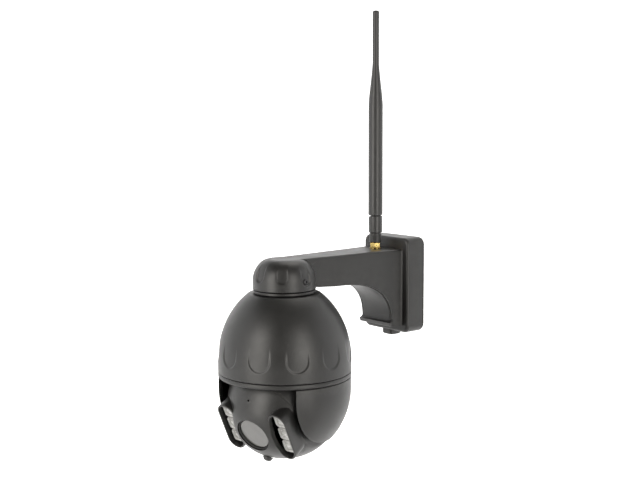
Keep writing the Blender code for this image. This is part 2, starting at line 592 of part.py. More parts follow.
def make_knuckle(base):
    """Swivelling sleeve, slotted upwards and to -X, the side that the whip folds to."""
    sleeve = disc(KNUCKLE_RADIUS, KNUCKLE_BOTTOM, KNUCKLE_PIN + KNUCKLE_RADIUS, 24)
    knuckle = add_part("antenna_knuckle", sleeve, "antenna_plastic", base)
    shoulder = block((-20 * MM, -20 * MM, KNUCKLE_PIN + MM), (-0.7 * MM, 20 * MM, KNUCKLE_PIN + 20 * MM))
    corner = add_part("corner", shoulder, "steel", base)
    round_top = placed(disc(KNUCKLE_RADIUS + 0.05 * MM, -30 * MM, 30 * MM, 24), ALONG_Y_FORWARD)
    cut(corner, moved(round_top, 0, 0, KNUCKLE_PIN))
    cut(knuckle, take_mesh(corner))
    slot = block((-10 * MM, -FORK_SLOT / 2, KNUCKLE_PIN - TONGUE_RADIUS - 2 * GAP),
                 (TONGUE_RADIUS + GAP, FORK_SLOT / 2, KNUCKLE_PIN + 10 * MM))
    cut(knuckle, slot)
    pin_hole = placed(disc(PIN_BORE, -10 * MM, 4.4 * MM, 12), ALONG_Y_FORWARD)
    cut(knuckle, moved(pin_hole, 0, 0, KNUCKLE_PIN))
    pin = placed(disc(PIN_RADIUS, -5.2 * MM, 4.0 * MM, 12), ALONG_Y_FORWARD)
    add_part("antenna_pin", pin, "steel", base, location=(0, 0, KNUCKLE_PIN))


def make_whip(base):
    """Whip with its origin on the hinge pin, and the tongue that fits the sleeve's slot."""
    start = KNUCKLE_RADIUS + 2 * GAP
    total = ANTENNA_TOP - KNUCKLE_PIN
    tip_start, taper_start = total - WHIP_TIP_DROP, total - WHIP_TAPER_DROP
    profile = [(0, start), (WHIP_RADIUS - 0.5 * MM, start), (WHIP_RADIUS, start + 0.8 * MM),
               (WHIP_RADIUS, taper_start)]
    for step in range(1, 4):
        share = step / 3
        profile.append((WHIP_RADIUS + (WHIP_TIP_RADIUS - WHIP_RADIUS) * share,
                        taper_start + (tip_start - taper_start) * share))
    profile += [(WHIP_TIP_RADIUS, total - 1.6 * MM), (WHIP_TIP_RADIUS * 0.75, total - 0.5 * MM), (0, total)]
    whip = add_part("antenna_whip", lathe(profile, 20), "antenna_plastic", base, location=(0, 0, KNUCKLE_PIN))
    half = FORK_SLOT / 2 - GAP
    join(whip, placed(disc(TONGUE_RADIUS, -half, half, 20), ALONG_Y_FORWARD))
    join(whip, block((-TONGUE_RADIUS, -half, 0), (TONGUE_RADIUS, half, start + 2 * MM)))
    cut(whip, placed(disc(PIN_BORE, -10 * MM, 10 * MM, 12), ALONG_Y_FORWARD))


def take_mesh(part):
    """Take a helper object's mesh back as a bmesh and delete the object."""
    bm = bmesh.new()
    bm.from_mesh(part.data)
    bpy.data.objects.remove(part, do_unlink=True)
    return bm


# ---------------------------------------------------------------- dome

def upper_outline(shrink, low, high, count):
    """Points up the upper shell's ellipse, drawn in by shrink, from low to high."""
    radius, height = DOME_RADIUS - shrink, UPPER_HEIGHT - shrink
    top = math.asin((high - UPPER_CENTRE) / height)
    points = [(radius, low)]
    for step in range(count + 1):
        angle = top * step / count
        points.append((radius * math.cos(angle), UPPER_CENTRE + height * math.sin(angle)))
    return points


def make_upper_shell(frame):
    """Upper half of the dome with the bearing seat at its top and two bosses for the chassis."""
    outside = upper_outline(0, UPPER_BOTTOM, UPPER_TOP, 6)
    inside = upper_outline(DOME_WALL, UPPER_BOTTOM, 0.9 * MM, 4)
    seat = [(15.2 * MM, UPPER_TOP), (15.2 * MM, -3.8 * MM), (11.0 * MM, -3.8 * MM), (11.0 * MM, -5.6 * MM),
            (18.0 * MM, -5.6 * MM), (18.0 * MM, 0.9 * MM)]
    shell = add_part("upper_shell", lathe(outside + seat + list(reversed(inside)), 32), "body_plastic", frame)
    for side in (-1, 1):
        boss = moved(disc(3.2 * MM, CHASSIS_TOP + GAP, -18.5 * MM, 12), 0, side * CHASSIS_SCREW_Y, 0)
        join(shell, boss)
        pilot = moved(disc(1.85 * MM, CHASSIS_TOP - MM, -24 * MM, 12), 0, side * CHASSIS_SCREW_Y, 0)
        cut(shell, pilot)
    return shell


def lower_radius(z):
    if z >= LOWER_CENTRE:
        return DOME_RADIUS - 0.3 * MM
    return (DOME_RADIUS - 0.3 * MM) * math.sqrt(1 - ((z - LOWER_CENTRE) / LOWER_HEIGHT) ** 2)


def make_lower_shell(frame):
    """Bowl round the back and sides of the head, cut open at the front between two upright edges."""
    outside = [(lower_radius(LOWER_TOP), LOWER_TOP)]
    count = 6
    for step in range(count + 1):
        z = LOWER_CENTRE + (LOWER_RIM - LOWER_CENTRE) * math.sin(math.pi / 2 * step / count)
        outside.append((lower_radius(z), z))
    head_clearance = HEAD_RADIUS + 0.9 * MM
    inside = []
    for step in range(4):
        z = LOWER_RIM + (-100 * MM - LOWER_RIM) * step / 3
        inside.append((math.sqrt(head_clearance ** 2 - (z - TILT_Z) ** 2), z))
    for z in (-93 * MM, -84 * MM, LOWER_CENTRE, LOWER_TOP):
        inside.append((lower_radius(z) - DOME_WALL, z))
    shell = add_part("lower_shell", lathe(outside + inside, 32), "body_plastic", frame)
    opening = block((-OPENING_HALF_WIDTH, -60 * MM, -130 * MM), (OPENING_HALF_WIDTH, 0, -50 * MM))
    return cut(shell, opening)


def make_dome(frame):
    neck_ring = ring(18.5 * MM, 25.0 * MM, 3.85 * MM, 6.35 * MM, 32)
    add_part("neck_ring", neck_ring, "body_plastic", frame)
    bearing = [(HUB_RADIUS + GAP, -3.5 * MM), (14.9 * MM, -3.5 * MM), (14.9 * MM, 3.2 * MM),
               (HUB_RADIUS + GAP, 3.2 * MM)]
    add_part("pan_bearing", lathe(bearing, 24), "steel", frame)
    make_upper_shell(frame)
    bead = [(50.9 * MM, BEAD_BOTTOM), (DOME_RADIUS - 0.5 * MM, BEAD_BOTTOM), (DOME_RADIUS, BEAD_BOTTOM + MM),
            (DOME_RADIUS, BEAD_TOP - 0.6 * MM), (DOME_RADIUS - 0.4 * MM, BEAD_TOP), (50.9 * MM, BEAD_TOP)]
    add_part("bead_ring", lathe(bead, 32), "body_plastic", frame)
    make_lower_shell(frame)
    make_chassis(frame)
    make_pan_motor(frame)
    make_main_board(frame)


def make_chassis(frame):
    """Plate across the dome that carries the motors, the main board and the two yoke arms."""
    plate = add_part("chassis_plate", disc(CHASSIS_RADIUS, CHASSIS_BOTTOM, CHASSIS_TOP, 32),
                     "inner_plastic", frame)
    cut(plate, block((34.6 * MM, -16 * MM, -40 * MM), (38.8 * MM, 16 * MM, -30 * MM)))
    cut(plate, disc(5 * MM, -40 * MM, -30 * MM, 12))
    for side in (-1, 1):
        cut(plate, moved(disc(1.9 * MM, -40 * MM, -30 * MM, 12), 0, side * CHASSIS_SCREW_Y, 0))
    for name, side in (("chassis_screw_front", -1), ("chassis_screw_rear", 1)):
        add_screw(name, (2.8 * MM, 1.6 * MM, 1.5 * MM, 9 * MM), "steel", frame,
                  (0, side * CHASSIS_SCREW_Y, CHASSIS_BOTTOM - GAP), (math.pi, 0, 0))


def make_pan_motor(frame):
    """Stepper that stands on the chassis, with its shaft pointing up through the pinion."""
    foot = CHASSIS_TOP + GAP
    collar_top = PAN_MOTOR_TOP + 1.5 * MM
    profile = [(0, foot), (PAN_MOTOR_RADIUS, foot), (PAN_MOTOR_RADIUS, PAN_MOTOR_TOP),
               (4 * MM, PAN_MOTOR_TOP), (4 * MM, collar_top), (MOTOR_SHAFT_RADIUS, collar_top),
               (MOTOR_SHAFT_RADIUS, PAN_SHAFT_TOP), (0, PAN_SHAFT_TOP)]
    add_part("pan_motor", lathe(profile, 18), "steel", frame, (0, PAN_MOTOR_DISTANCE, 0))
    teeth = gear_outline(PAN_PINION_TEETH, GEAR_MODULE, -math.pi / 2)
    solid = prism(teeth, FIXED_GEAR_BOTTOM - MM, FIXED_GEAR_TOP)
    pinion = add_part("pan_pinion", solid, "gear_plastic", frame, (0, PAN_MOTOR_DISTANCE, 0))
    cut(pinion, disc(MOTOR_SHAFT_RADIUS + GAP, -20 * MM, 0, 12))


def make_main_board(frame):
    """Main circuit board on the chassis, with its processor, memory and connectors."""
    board = add_part("main_board", block((-20 * MM, -36 * MM, -29.4 * MM), (20 * MM, -12 * MM, -27.8 * MM)),
                     "board_green", frame)
    for x, y, size, height in ((-9, -24, 12, 2.2), (7, -20, 8, 1.4), (7, -31, 7, 1.4), (16, -24, 5, 5)):
        low = ((x - size / 2) * MM, (y - size / 2) * MM, -28.2 * MM)
        high = ((x + size / 2) * MM, (y + size / 2) * MM, (-27.8 + height) * MM)
        join(board, block(low, high))
    for x in (-17.5 * MM, 17.5 * MM):
        for y in (-33.5 * MM, -14.5 * MM):
            foot = moved(disc(1.6 * MM, CHASSIS_TOP + GAP, -28.5 * MM, 6), x, y, 0)
            join(board, foot)
    return board


# ---------------------------------------------------------------- yoke and tilt drive

def make_yoke(frame, name, side):
    """Arm that hangs from the chassis to the tilt axis, with a flange on top and a round foot."""
    outline = [(-YOKE_HALF_WIDTH, CHASSIS_BOTTOM - GAP), (-YOKE_HALF_WIDTH, TILT_Z)]
    for step in range(1, 9):
        angle = math.pi + math.pi * step / 9
        outline.append((YOKE_HALF_WIDTH * math.cos(angle), TILT_Z + YOKE_HALF_WIDTH * math.sin(angle)))
    outline += [(YOKE_HALF_WIDTH, TILT_Z), (YOKE_HALF_WIDTH, CHASSIS_BOTTOM - GAP)]
    bm = prism(outline, YOKE_INNER, YOKE_INNER + YOKE_THICKNESS)
    stand = Matrix(((0, 0, side, 0), (1, 0, 0, 0), (0, 1, 0, 0), (0, 0, 0, 1)))
    yoke = add_part(name, placed(bm, stand), "inner_plastic", frame)
    inner, outer = sorted((side * (YOKE_INNER + MM), side * 46 * MM))
    join(yoke, block((inner, -9 * MM, CHASSIS_BOTTOM - 2.8 * MM), (outer, 9 * MM, CHASSIS_BOTTOM - GAP)))
    cut(yoke, moved(placed(disc(5.3 * MM, -60 * MM, 60 * MM, 18), ALONG_X), 0, 0, TILT_Z))
    return yoke


def belt_loop(thickness):
    """Outline of an open belt round both pulleys, in (depth, height) about the motor pulley."""
    distance = TILT_MOTOR_Z - TILT_Z
    small, large = MOTOR_PULLEY_RADIUS + GAP + thickness, TILT_PULLEY_RADIUS + GAP + thickness
    lean = math.asin((large - small) / distance)
    points = []
    for step in range(13):
        angle = lean + (math.pi - 2 * lean) * step / 12
        points.append((small * math.cos(angle), small * math.sin(angle)))
    for step in range(13):
        angle = math.pi - lean + (math.pi + 2 * lean) * step / 12
        points.append((large * math.cos(angle), large * math.sin(angle) - distance))
    return points


def make_tilt_drive(frame):
    """Motor on the chassis, its pulley, and the belt that turns the pulley on the head."""
    for name, side in (("yoke_left", -1), ("yoke_right", 1)):
        make_yoke(frame, name, side)
    for name, side in (("tilt_bush_left", -1), ("tilt_bush_right", 1)):
        inner_end = YOKE_INNER + 0.1 * MM
        flange = YOKE_INNER + YOKE_THICKNESS + GAP
        outer_end = flange + MM
        bore = TRUNNION_RADIUS + GAP
        profile = [(bore, inner_end), (BUSH_RADIUS, inner_end), (BUSH_RADIUS, flange),
                   (BUSH_FLANGE_RADIUS, flange), (BUSH_FLANGE_RADIUS, outer_end), (bore, outer_end)]
        bush = placed(lathe(profile, 16), Matrix.Rotation(side * math.pi / 2, 4, "Y"))
        add_part(name, bush, "gear_plastic", frame, (0, 0, TILT_Z))
    rear, front, shaft_end = TILT_MOTOR_REAR, TILT_MOTOR_FRONT, BELT_OUTER - 0.4 * MM
    motor = lathe([(0, rear), (TILT_MOTOR_RADIUS, rear), (TILT_MOTOR_RADIUS, front), (3.5 * MM, front),
                   (3.5 * MM, front + MM), (MOTOR_SHAFT_RADIUS, front + MM),
                   (MOTOR_SHAFT_RADIUS, shaft_end), (0, shaft_end)], 18)
    add_part("tilt_motor", placed(motor, ALONG_X), "steel", frame, (0, 0, TILT_MOTOR_Z))
    bore = MOTOR_SHAFT_RADIUS + GAP
    pulley = placed(ring(bore, MOTOR_PULLEY_RADIUS, BELT_INNER, BELT_OUTER, 18), ALONG_X)
    add_part("tilt_motor_pulley", pulley, "gear_plastic", frame, (0, 0, TILT_MOTOR_Z))
    upright = Matrix(((0, 0, 1, 0), (1, 0, 0, 0), (0, 1, 0, 0), (0, 0, 0, 1)))
    band = placed(prism(belt_loop(BELT_THICKNESS), BELT_INNER, BELT_OUTER), upright)
    belt = add_part("tilt_belt", band, "black_rubber", frame, (0, 0, TILT_MOTOR_Z))
    cut(belt, placed(prism(belt_loop(0), BELT_INNER - MM, BELT_OUTER + MM), upright))


# ---------------------------------------------------------------- head

def sphere(radius, segments, rings):
    """A ball turned round the optical axis, so that its rings face forward."""
    profile = []
    for step in range(rings + 1):
        angle = -math.pi / 2 + math.pi * step / rings
        profile.append((max(0.0, radius * math.cos(angle)), radius * math.sin(angle)))
    profile[0] = (0, -radius)
    profile[-1] = (0, radius)
    return placed(lathe(profile, segments), ALONG_Y_FORWARD)


def forward_block(half_width, rear, front, half_height):
    """Box across the optical axis, between two distances in front of the tilt axis."""
    return block((-half_width, -front, -half_height), (half_width, -rear, half_height))


def pod_solid(half_width, half_length, rear, front, side):
    outline = stadium(half_width, half_length, 7)
    return moved(placed(prism(outline, rear, front), ALONG_Y_FORWARD), side * POD_CENTRE, 0, 0)


def make_front_shell(frame):
    """Front of the ball with the window bore and the two raised lamp pods."""
    shell = add_part("head_front_shell", sphere(HEAD_RADIUS, 28, 14), "body_plastic", frame)
    combine(shell, forward_block(HEAD_HALF_WIDTH, HEAD_PARTING + 0.15 * MM, 60 * MM, 60 * MM), "INTERSECT")
    for side in (-1, 1):
        join(shell, pod_solid(POD_HALF_WIDTH, POD_HALF_LENGTH, HEAD_PARTING + 2 * MM, POD_FRONT, side))
    inner = add_part("inner", sphere(HEAD_RADIUS - HEAD_WALL, 20, 10), "steel", frame)
    combine(inner, forward_block(HEAD_HALF_WIDTH - HEAD_WALL, 0, 60 * MM, 60 * MM), "INTERSECT")
    cut(shell, take_mesh(inner))
    for side in (-1, 1):
        cut(shell, pod_solid(POD_HALF_WIDTH - POD_RIM, POD_HALF_LENGTH - POD_RIM, 20 * MM, 60 * MM, side))
    cut(shell, placed(disc(LENS_BORE, 30 * MM, 60 * MM, 28), ALONG_Y_FORWARD))
    return shell


def make_rear_shell(frame):
    """Back of the ball, with flat sides, trunnion holes and screw holes into the front shell."""
    shell = add_part("head_rear_shell", sphere(HEAD_RADIUS, 28, 14), "body_plastic", frame)
    combine(shell, forward_block(HEAD_HALF_WIDTH, -60 * MM, HEAD_PARTING - 0.15 * MM, 60 * MM), "INTERSECT")
    inner = add_part("inner", sphere(HEAD_RADIUS - HEAD_WALL, 20, 10), "steel", frame)
    combine(inner, forward_block(HEAD_HALF_WIDTH - HEAD_WALL, -60 * MM, 60 * MM, 60 * MM), "INTERSECT")
    cut(shell, take_mesh(inner))
    cut(shell, placed(disc(3.9 * MM, -60 * MM, 60 * MM, 14), ALONG_X))
    for height in HEAD_SCREW_HEIGHTS:
        seat = head_screw_seat(height)
        boss = add_part("boss", rear_disc(4.4 * MM, seat - 3.6 * MM, HEAD_RADIUS, height, 14), "steel", frame)
        combine(boss, sphere(HEAD_RADIUS - MM, 28, 14), "INTERSECT")
        join(shell, take_mesh(boss))
        cut(shell, rear_disc(1.8 * MM, 20 * MM, 60 * MM, height, 10))
        cut(shell, rear_disc(3.2 * MM, seat - GAP, 60 * MM, height, 12))
    return shell


def head_screw_seat(height):
    """Distance of a head screw's seat behind the tilt axis."""
    return math.sqrt(HEAD_RADIUS ** 2 - height ** 2) - HEAD_SCREW_DEPTH


def rear_disc(radius, near, far, height, segments):
    """Cylinder along the optical axis, between two distances behind the tilt axis."""
    return moved(placed(disc(radius, -far, -near, segments), ALONG_Y_FORWARD), 0, 0, height)


def make_lens(frame):
    bezel = ring(WINDOW_RADIUS + GAP, LENS_BORE - GAP, 38 * MM, 43.1 * MM, 28)
    add_part("lens_bezel", placed(bezel, ALONG_Y_FORWARD), "inner_plastic", frame)
    window = disc(WINDOW_RADIUS, WINDOW_FRONT - 2 * MM, WINDOW_FRONT, 28)
    add_part("lens_window", placed(window, ALONG_Y_FORWARD), "window_glass", frame)
    barrel = [(0, 16 * MM), (8 * MM, 16 * MM), (8 * MM, 24 * MM), (11 * MM, 25 * MM), (11 * MM, 40 * MM),
              (9 * MM, 40.4 * MM), (8 * MM, 39 * MM), (0, 38.4 * MM)]
    add_part("lens_barrel", placed(lathe(barrel, 20), ALONG_Y_FORWARD), "inner_plastic", frame)
    board = add_part("image_board", forward_block(17 * MM, 12 * MM, 13.6 * MM, 15 * MM), "board_green", frame)
    join(board, forward_block(6 * MM, 13.2 * MM, 15.7 * MM, 6 * MM))


def make_lamps(frame):
    """Two lamp boards with three lens blocks each, set back inside the pods."""
    for name, side in (("left", -1), ("right", 1)):
        clearance = POD_RIM + GAP
        board = pod_solid(POD_HALF_WIDTH - clearance, POD_HALF_LENGTH - clearance,
                          LED_BACK - GAP - LED_BOARD_THICKNESS, LED_BACK - GAP, side)
        add_part("led_board_" + name, board, "board_green", frame)
        for index, height in (("upper", LED_PITCH), ("middle", 0.0), ("lower", -LED_PITCH)):
            sections = []
            for rise, half in LED_STEPS:
                outline = rounded_rectangle(2 * half, 2 * half + 1.2 * MM, half * 0.6, 2)
                sections.append([(x, -LED_BACK - rise, z) for x, z in outline])
            add_part("led_" + name + "_" + index, loft(sections), "led_lens", frame,
                     (side * POD_CENTRE, 0, height))


def make_head(frame):
    make_front_shell(frame)
    make_rear_shell(frame)
    make_lens(frame)
    make_lamps(frame)
    slope = SENSOR_HEIGHT - 2 * MM
    nub = [(0, 0), (SENSOR_RADIUS - 0.6 * MM, 0), (SENSOR_RADIUS, 0.6 * MM), (SENSOR_RADIUS, slope),
           (SENSOR_RADIUS - 1.3 * MM, SENSOR_HEIGHT - 0.5 * MM), (0, SENSOR_HEIGHT)]
    lean = Matrix.Rotation(SENSOR_LEAN, 4, "X")
    reach = HEAD_RADIUS + GAP
    sensor = placed(moved(placed(lathe(nub, 14), ALONG_Y_FORWARD), 0, -reach, 0), lean)
    add_part("light_sensor", sensor, "body_plastic", frame)
    for name, side in (("trunnion_left", -1), ("trunnion_right", 1)):
        profile = [(0, 30.6 * MM), (8 * MM, 30.6 * MM), (8 * MM, 33 * MM), (TRUNNION_RADIUS, 33 * MM),
                   (TRUNNION_RADIUS, 43.2 * MM), (0, 43.2 * MM)]
        pin = placed(lathe(profile, 14), Matrix.Rotation(side * math.pi / 2, 4, "Y"))
        add_part(name, pin, "steel", frame)
    pulley = placed(ring(TRUNNION_RADIUS + GAP, TILT_PULLEY_RADIUS, BELT_INNER, BELT_OUTER, 28), ALONG_X)
    add_part("tilt_pulley", pulley, "gear_plastic", frame)
    for name, height in zip(("head_screw_upper", "head_screw_lower"), HEAD_SCREW_HEIGHTS):
        add_screw(name, (2.6 * MM, 1.4 * MM, 1.4 * MM, 7 * MM), "dark_screw", frame,
                  (0, head_screw_seat(height), height), (-math.pi / 2, 0, 0))


# ---------------------------------------------------------------- assembly

clear_scene()
MATERIALS = {name: make_material(name) for name in COLOURS}
make_wall_plate()
make_wall_gasket()
make_wall_box()
make_box_fasteners()
make_bracket_arm()
make_arm_cover()
make_arm_fasteners()
make_hub()
make_fixed_gear()
make_antenna()
dome_frame = make_empty("dome_frame", (0, PAN_AXIS_Y, 0), (0, 0, PAN_REST))
make_dome(dome_frame)
make_tilt_drive(dome_frame)
head_frame = make_empty("head_frame", (0, 0, TILT_Z), (TILT_REST, 0, 0), dome_frame)
make_head(head_frame)
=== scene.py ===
"""Looks of the wall-mounted pan and tilt camera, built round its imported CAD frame.

Metres, +Z up, the wall is y = 0. Dome pieces are drawn in the dome's own frame, whose Z axis is the
pan axis and whose -Y is the way the camera faces. Head pieces are drawn in the head's frame, which
looks along its own -Y with the tilt axis along X.
"""
import json
from math import acos, asin, atan2, cos, degrees, hypot, pi, radians, sin, sqrt

import bmesh
import bpy
from mathutils import Matrix, Vector


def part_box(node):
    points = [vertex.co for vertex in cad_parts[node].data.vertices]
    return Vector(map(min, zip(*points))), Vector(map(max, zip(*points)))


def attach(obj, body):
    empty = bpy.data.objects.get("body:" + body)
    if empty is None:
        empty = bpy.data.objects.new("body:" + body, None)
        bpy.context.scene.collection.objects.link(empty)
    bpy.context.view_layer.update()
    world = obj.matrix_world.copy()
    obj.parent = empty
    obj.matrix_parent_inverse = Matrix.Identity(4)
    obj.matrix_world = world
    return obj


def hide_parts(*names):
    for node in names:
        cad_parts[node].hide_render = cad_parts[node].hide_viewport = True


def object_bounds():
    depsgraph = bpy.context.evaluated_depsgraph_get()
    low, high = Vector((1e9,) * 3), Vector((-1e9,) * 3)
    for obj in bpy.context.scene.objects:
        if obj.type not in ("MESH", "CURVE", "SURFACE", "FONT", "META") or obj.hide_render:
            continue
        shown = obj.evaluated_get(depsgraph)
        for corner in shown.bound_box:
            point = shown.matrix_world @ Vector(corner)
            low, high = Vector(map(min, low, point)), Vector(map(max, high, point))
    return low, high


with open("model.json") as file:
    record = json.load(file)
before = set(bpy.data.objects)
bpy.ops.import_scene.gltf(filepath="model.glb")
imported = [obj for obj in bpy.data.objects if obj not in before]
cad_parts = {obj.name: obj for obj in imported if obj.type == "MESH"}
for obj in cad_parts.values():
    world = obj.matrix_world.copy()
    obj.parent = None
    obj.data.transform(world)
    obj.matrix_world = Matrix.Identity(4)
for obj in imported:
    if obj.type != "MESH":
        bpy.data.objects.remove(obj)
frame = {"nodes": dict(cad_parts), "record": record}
cad_low, cad_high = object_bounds()

MM = 0.001
JOINTS = {joint["name"]: joint for joint in frame["record"]["behaviour"]["joints"]}


# ---- places read from the frame

PAN_POINT = Vector(JOINTS["pan"]["pos_m"])
TILT_POINT = Vector(JOINTS["tilt"]["pos_m"])
TILT_AXIS = Vector(JOINTS["tilt"]["axis"])
PAN_TURN = atan2(TILT_AXIS.y, TILT_AXIS.x)
TILT_TURN = radians(-JOINTS["tilt"]["range_deg"][0])
WHIP_PIN = Vector(JOINTS["antenna_tilt"]["pos_m"])

ARM_PLACE = Matrix.Identity(4)
NECK_PLACE = Matrix.Translation((PAN_POINT.x, PAN_POINT.y, 0))
DOME_PLACE = NECK_PLACE @ Matrix.Rotation(PAN_TURN, 4, "Z")
HEAD_PLACE = Matrix.Translation(TILT_POINT) @ Matrix.Rotation(PAN_TURN, 4, "Z") @ \
    Matrix.Rotation(TILT_TURN, 4, "X")
ANTENNA_PLACE = Matrix.Translation((WHIP_PIN.x, WHIP_PIN.y, 0))

FORWARD = Matrix.Rotation(pi / 2, 4, "X")       # turns +Z to -Y
SIDEWAYS = Matrix.Rotation(pi / 2, 4, "Y")      # turns +Z to +X


def low(node):
    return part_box(node)[0]


def high(node):
    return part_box(node)[1]


def span(node):
    """Lowest and highest z of a CAD node."""
    return low(node).z, high(node).z


def middle(node):
    return sum(span(node)) / 2


# ---- mesh tools

def lathe(profile, segments):
    """Spin a closed (radius, height) outline once round Z."""
    bm = bmesh.new()
    rows = []
    for radius, height in profile:
        if radius < 1e-9:
            rows.append([bm.verts.new((0, 0, height))] * segments)
            continue
        row = []
        for step in range(segments):
            angle = 2 * pi * step / segments
            row.append(bm.verts.new((radius * cos(angle), radius * sin(angle), height)))
        rows.append(row)
    for near, far in zip(rows, rows[1:] + rows[:1]):
        add_band(bm, near, far)
    return bm


def add_band(bm, near, far):
    """Quads, or triangles at a pole, between two rows that close round."""
    count = len(near)
    for step in range(count):
        after = (step + 1) % count
        corners = []
        for vert in (near[step], near[after], far[after], far[step]):
            if vert not in corners:
                corners.append(vert)
        if len(corners) > 2:
            bm.faces.new(corners)


def skin(bm, rows):
    """Skin rows of vertices that close round, and cap both ends."""
    for near, far in zip(rows, rows[1:]):
        add_band(bm, near, far)
    bm.faces.new(rows[0])
    bm.faces.new(reversed(rows[-1]))
    return bm


def loft(sections):
    """Solid through a row of closed sections with equal point counts."""
    bm = bmesh.new()
    return skin(bm, [[bm.verts.new(point) for point in section] for section in sections])


def prism(outline, start, end):
    return loft([[(x, y, start) for x, y in outline], [(x, y, end) for x, y in outline]])


def in_mm(*points):
    return [(first * MM, second * MM) for first, second in points]


def disc(radius, start, end, segments=64):
    return lathe([(0, start), (radius, start), (radius, end), (0, end)], segments)


def turned(rings, columns, depth_at, hollow=False):
    """Solid round Z through rings of radius, height and share, each sunk by its share of depth_at.

    depth_at takes an azimuth in degrees, 0 facing -Y, and a height. Hollow solids are not capped.
    """
    bm, rows = bmesh.new(), []
    for radius, height, share in rings:
        row = []
        for step in range(columns):
            azimuth = 360.0 * step / columns
            angle, reach = radians(azimuth), radius - share * depth_at(azimuth, height)
            row.append(bm.verts.new((reach * sin(angle), -reach * cos(angle), height)))
        rows.append(row)
    if not hollow:
        return skin(bm, rows)
    for near, far in zip(rows, rows[1:] + rows[:1]):
        add_band(bm, near, far)
    return bm


def block(corner, opposite):
    (x0, y0, z0), (x1, y1, z1) = corner, opposite
    return prism([(x0, y0), (x1, y0), (x1, y1), (x0, y1)], z0, z1)


def rod(radius, rear, front, x, z, segments=64):
    """Cylinder from y = -rear to y = -front, its axis along Y."""
    return moved(placed(disc(radius, rear, front, segments), FORWARD), x, 0, z)


def placed(bm, matrix):
    bmesh.ops.transform(bm, matrix=matrix, verts=bm.verts)
    return bm


def moved(bm, x, y, z):
    return placed(bm, Matrix.Translation((x, y, z)))


def arc(centre_x, centre_y, radius, start, end, steps):
    """Points on a circle between two angles in degrees, both ends included."""
    points = []
    for step in range(steps + 1):
        angle = radians(start + (end - start) * step / steps)
        points.append((centre_x + radius * cos(angle), centre_y + radius * sin(angle)))
    return points


def stadium(half_width, half_length, steps=16):
    straight = half_length - half_width
    return arc(0, straight, half_width, 0, 180, steps) + arc(0, -straight, half_width, 180, 360, steps)


def rounded_rectangle(width, height, corner, steps=8):
    outline = []
    for start, side_x, side_y in ((0, 1, 1), (90, -1, 1), (180, -1, -1), (270, 1, -1)):
        outline += arc(side_x * (width / 2 - corner), side_y * (height / 2 - corner), corner,
                       start, start + 90, steps)
    return outline


def hexagon(radius, turn=0.0):
    angles = [turn + 2 * pi * side / 6 for side in range(6)]
    return [(radius * cos(angle), radius * sin(angle)) for angle in angles]


def smooth(value):
    """0 below 0, 1 above 1, and an even S between."""
    value = min(1.0, max(0.0, value))
    return value * value * (3 - 2 * value)


def add_object(name, data):
    thing = bpy.data.objects.new(name, data)
    bpy.context.scene.collection.objects.link(thing)
    return thing


def make_object(name, bm):
    bmesh.ops.remove_doubles(bm, verts=bm.verts, dist=1e-7)
    bmesh.ops.recalc_face_normals(bm, faces=bm.faces)
    mesh = bpy.data.meshes.new(name)
    bm.to_mesh(mesh)
    bm.free()
    return add_object(name, mesh)


def apply_modifiers(thing):
    """Bake an object's modifiers into its mesh."""
    bpy.context.view_layer.update()
    evaluated = thing.evaluated_get(bpy.context.evaluated_depsgraph_get())
    result = bpy.data.meshes.new_from_object(evaluated)
    thing.modifiers.clear()
    old = thing.data
    thing.data = result
    result.name = thing.name
    bpy.data.meshes.remove(old)


def combine(thing, bm, operation):
    tool = make_object("tool", bm)
    step = thing.modifiers.new("combine", "BOOLEAN")
    step.operation = operation
    step.solver = "EXACT"
    step.object = tool
    apply_modifiers(thing)
    bpy.data.objects.remove(tool, do_unlink=True)
    return thing


def cut(thing, bm):
    return combine(thing, bm, "DIFFERENCE")


def join(thing, bm):
    return combine(thing, bm, "UNION")


def common(thing, bm):
    return combine(thing, bm, "INTERSECT")


def as_bmesh(thing):
    bm = bmesh.new()
    bm.from_mesh(thing.data)
    bpy.data.objects.remove(thing, do_unlink=True)
    return bm


def round_edges(thing, width, angle):
    """Round every edge sharper than the angle, in geometry."""
    step = thing.modifiers.new("round", "BEVEL")
    step.width = width
    step.segments = 2
    step.limit_method = "ANGLE"
    step.angle_limit = radians(angle)
    apply_modifiers(thing)
    return thing


def deliver(thing, place, body, slot, *nodes, sharp=32.0):
    """Put a finished piece in the frame: its place, shading, slot and material, body and CAD nodes."""
    thing.data.transform(place)
    thing.data.materials.clear()
    thing.data.materials.append(MATERIALS[slot])
    thing.data.shade_smooth()
    thing.data.set_sharp_from_angle(angle=radians(sharp))
    weights = thing.modifiers.new("normals", "WEIGHTED_NORMAL")
    weights.keep_sharp = True
    weights.weight = 80
    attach(thing, body)
    if nodes:
        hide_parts(*nodes)
    return thing


# ---- materials

